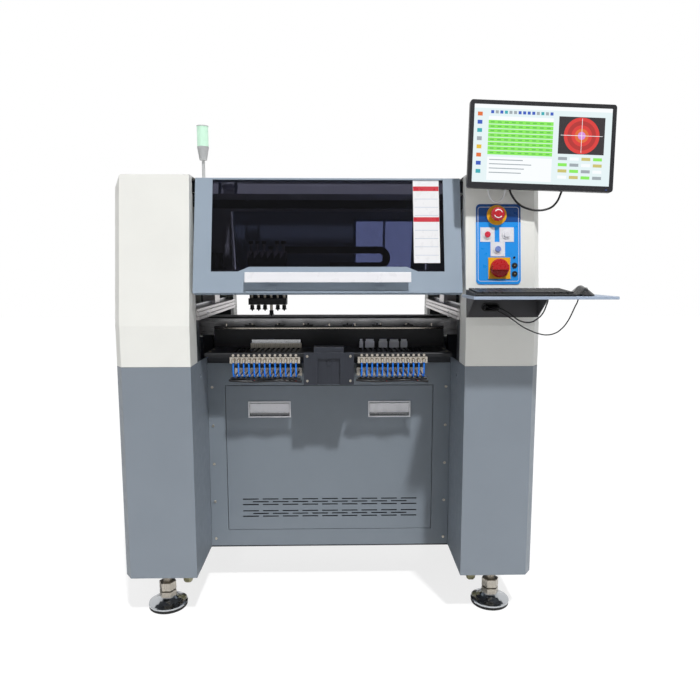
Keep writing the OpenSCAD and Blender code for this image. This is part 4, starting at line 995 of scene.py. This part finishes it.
# %% Backdrop
world = bpy.data.worlds.new("studio")
bpy.context.scene.world = world
world.use_nodes = True
tree = world.node_tree
tree.nodes.clear()
where = tree.nodes.new("ShaderNodeTexCoord")
parts = tree.nodes.new("ShaderNodeSeparateXYZ")
towards_rear = tree.nodes.new("ShaderNodeMapRange")
towards_rear.inputs["From Min"].default_value = -0.7
towards_rear.inputs["From Max"].default_value = 0.5
towards_rear.inputs["To Min"].default_value = 0.35
towards_rear.inputs["To Max"].default_value = 0.75
rays = tree.nodes.new("ShaderNodeLightPath")
mirrored = tree.nodes.new("ShaderNodeMix")
mirrored.data_type = "FLOAT"
AMBIENT = 0.24
mirrored.inputs["A"].default_value = AMBIENT
seen = tree.nodes.new("ShaderNodeMath")
seen.operation = "MAXIMUM"
level = tree.nodes.new("ShaderNodeMix")
level.data_type = "FLOAT"
level.inputs["B"].default_value = 1.0
sky = tree.nodes.new("ShaderNodeBackground")
sky.inputs["Color"].default_value = (1, 1, 1, 1)
out = tree.nodes.new("ShaderNodeOutputWorld")
tree.links.new(where.outputs["Generated"], parts.inputs["Vector"])
tree.links.new(parts.outputs["Y"], towards_rear.inputs["Value"])
tree.links.new(rays.outputs["Is Glossy Ray"], mirrored.inputs["Factor"])
tree.links.new(towards_rear.outputs["Result"], mirrored.inputs["B"])
tree.links.new(rays.outputs["Is Camera Ray"], seen.inputs[0])
tree.links.new(rays.outputs["Is Transmission Ray"], seen.inputs[1])
tree.links.new(seen.outputs["Value"], level.inputs["Factor"])
tree.links.new(mirrored.outputs["Result"], level.inputs["A"])
tree.links.new(level.outputs["Result"], sky.inputs["Strength"])
tree.links.new(sky.outputs["Background"], out.inputs["Surface"])

# %% [markdown]
# The floor is wide enough to run out of the picture on every side. It shines a little by itself, so
# that it stays white where the key doesn't reach and still shows a soft shadow.

# %% Floor
FLOOR_HALF = 12
bm = bmesh.new()
bmesh.ops.create_grid(bm, x_segments=1, y_segments=1, size=FLOOR_HALF)
bmesh.ops.translate(bm, vec=(0, 0, -0.0005), verts=bm.verts)
floor_mesh = bpy.data.meshes.new("floor")
bm.to_mesh(floor_mesh)
bm.free()
floor_finish, tree, shader = start_finish("floor_white", (0.86, 0.86, 0.86), 0.22)
tint(tree, grain(tree, 3, 2), shader.inputs["Base Color"], (0.85, 0.85, 0.85), (0.87, 0.87, 0.87))
glow = tree.nodes.new("ShaderNodeEmission")
glow.inputs["Strength"].default_value = 1.14
mix = tree.nodes.new("ShaderNodeMixShader")
rays = tree.nodes.new("ShaderNodeLightPath")
share = tree.nodes.new("ShaderNodeMath")
share.operation = "MULTIPLY"
share.inputs[1].default_value = 0.7
tree.links.new(rays.outputs["Is Camera Ray"], share.inputs[0])
tree.links.new(share.outputs["Value"], mix.inputs["Fac"])
tree.links.new(shader.outputs["BSDF"], mix.inputs[1])
tree.links.new(glow.outputs["Emission"], mix.inputs[2])
tree.links.new(mix.outputs["Shader"], tree.nodes["Material Output"].inputs["Surface"])
floor_mesh.materials.append(floor_finish)
floor = bpy.data.objects.new("floor", floor_mesh)
bpy.context.scene.collection.objects.link(floor)

# %% [markdown]
# One key lamp stands high in front and to the right. Its size gives shadows with a narrow soft rim.

# %% Key lamp
KEY_HEIGHT = math.radians(59)
KEY_SIDE = math.radians(20)
key = bpy.data.lights.new("key", "SUN")
key.energy = 2.9
key.angle = math.radians(3)
lamp = bpy.data.objects.new("key", key)
towards = Vector((math.cos(KEY_HEIGHT) * math.sin(KEY_SIDE), -math.cos(KEY_HEIGHT) * math.cos(KEY_SIDE),
                  math.sin(KEY_HEIGHT)))
lamp.rotation_euler = towards.to_track_quat("Z", "Y").to_euler()
bpy.context.scene.collection.objects.link(lamp)
bpy.context.scene.view_settings.view_transform = "Standard"
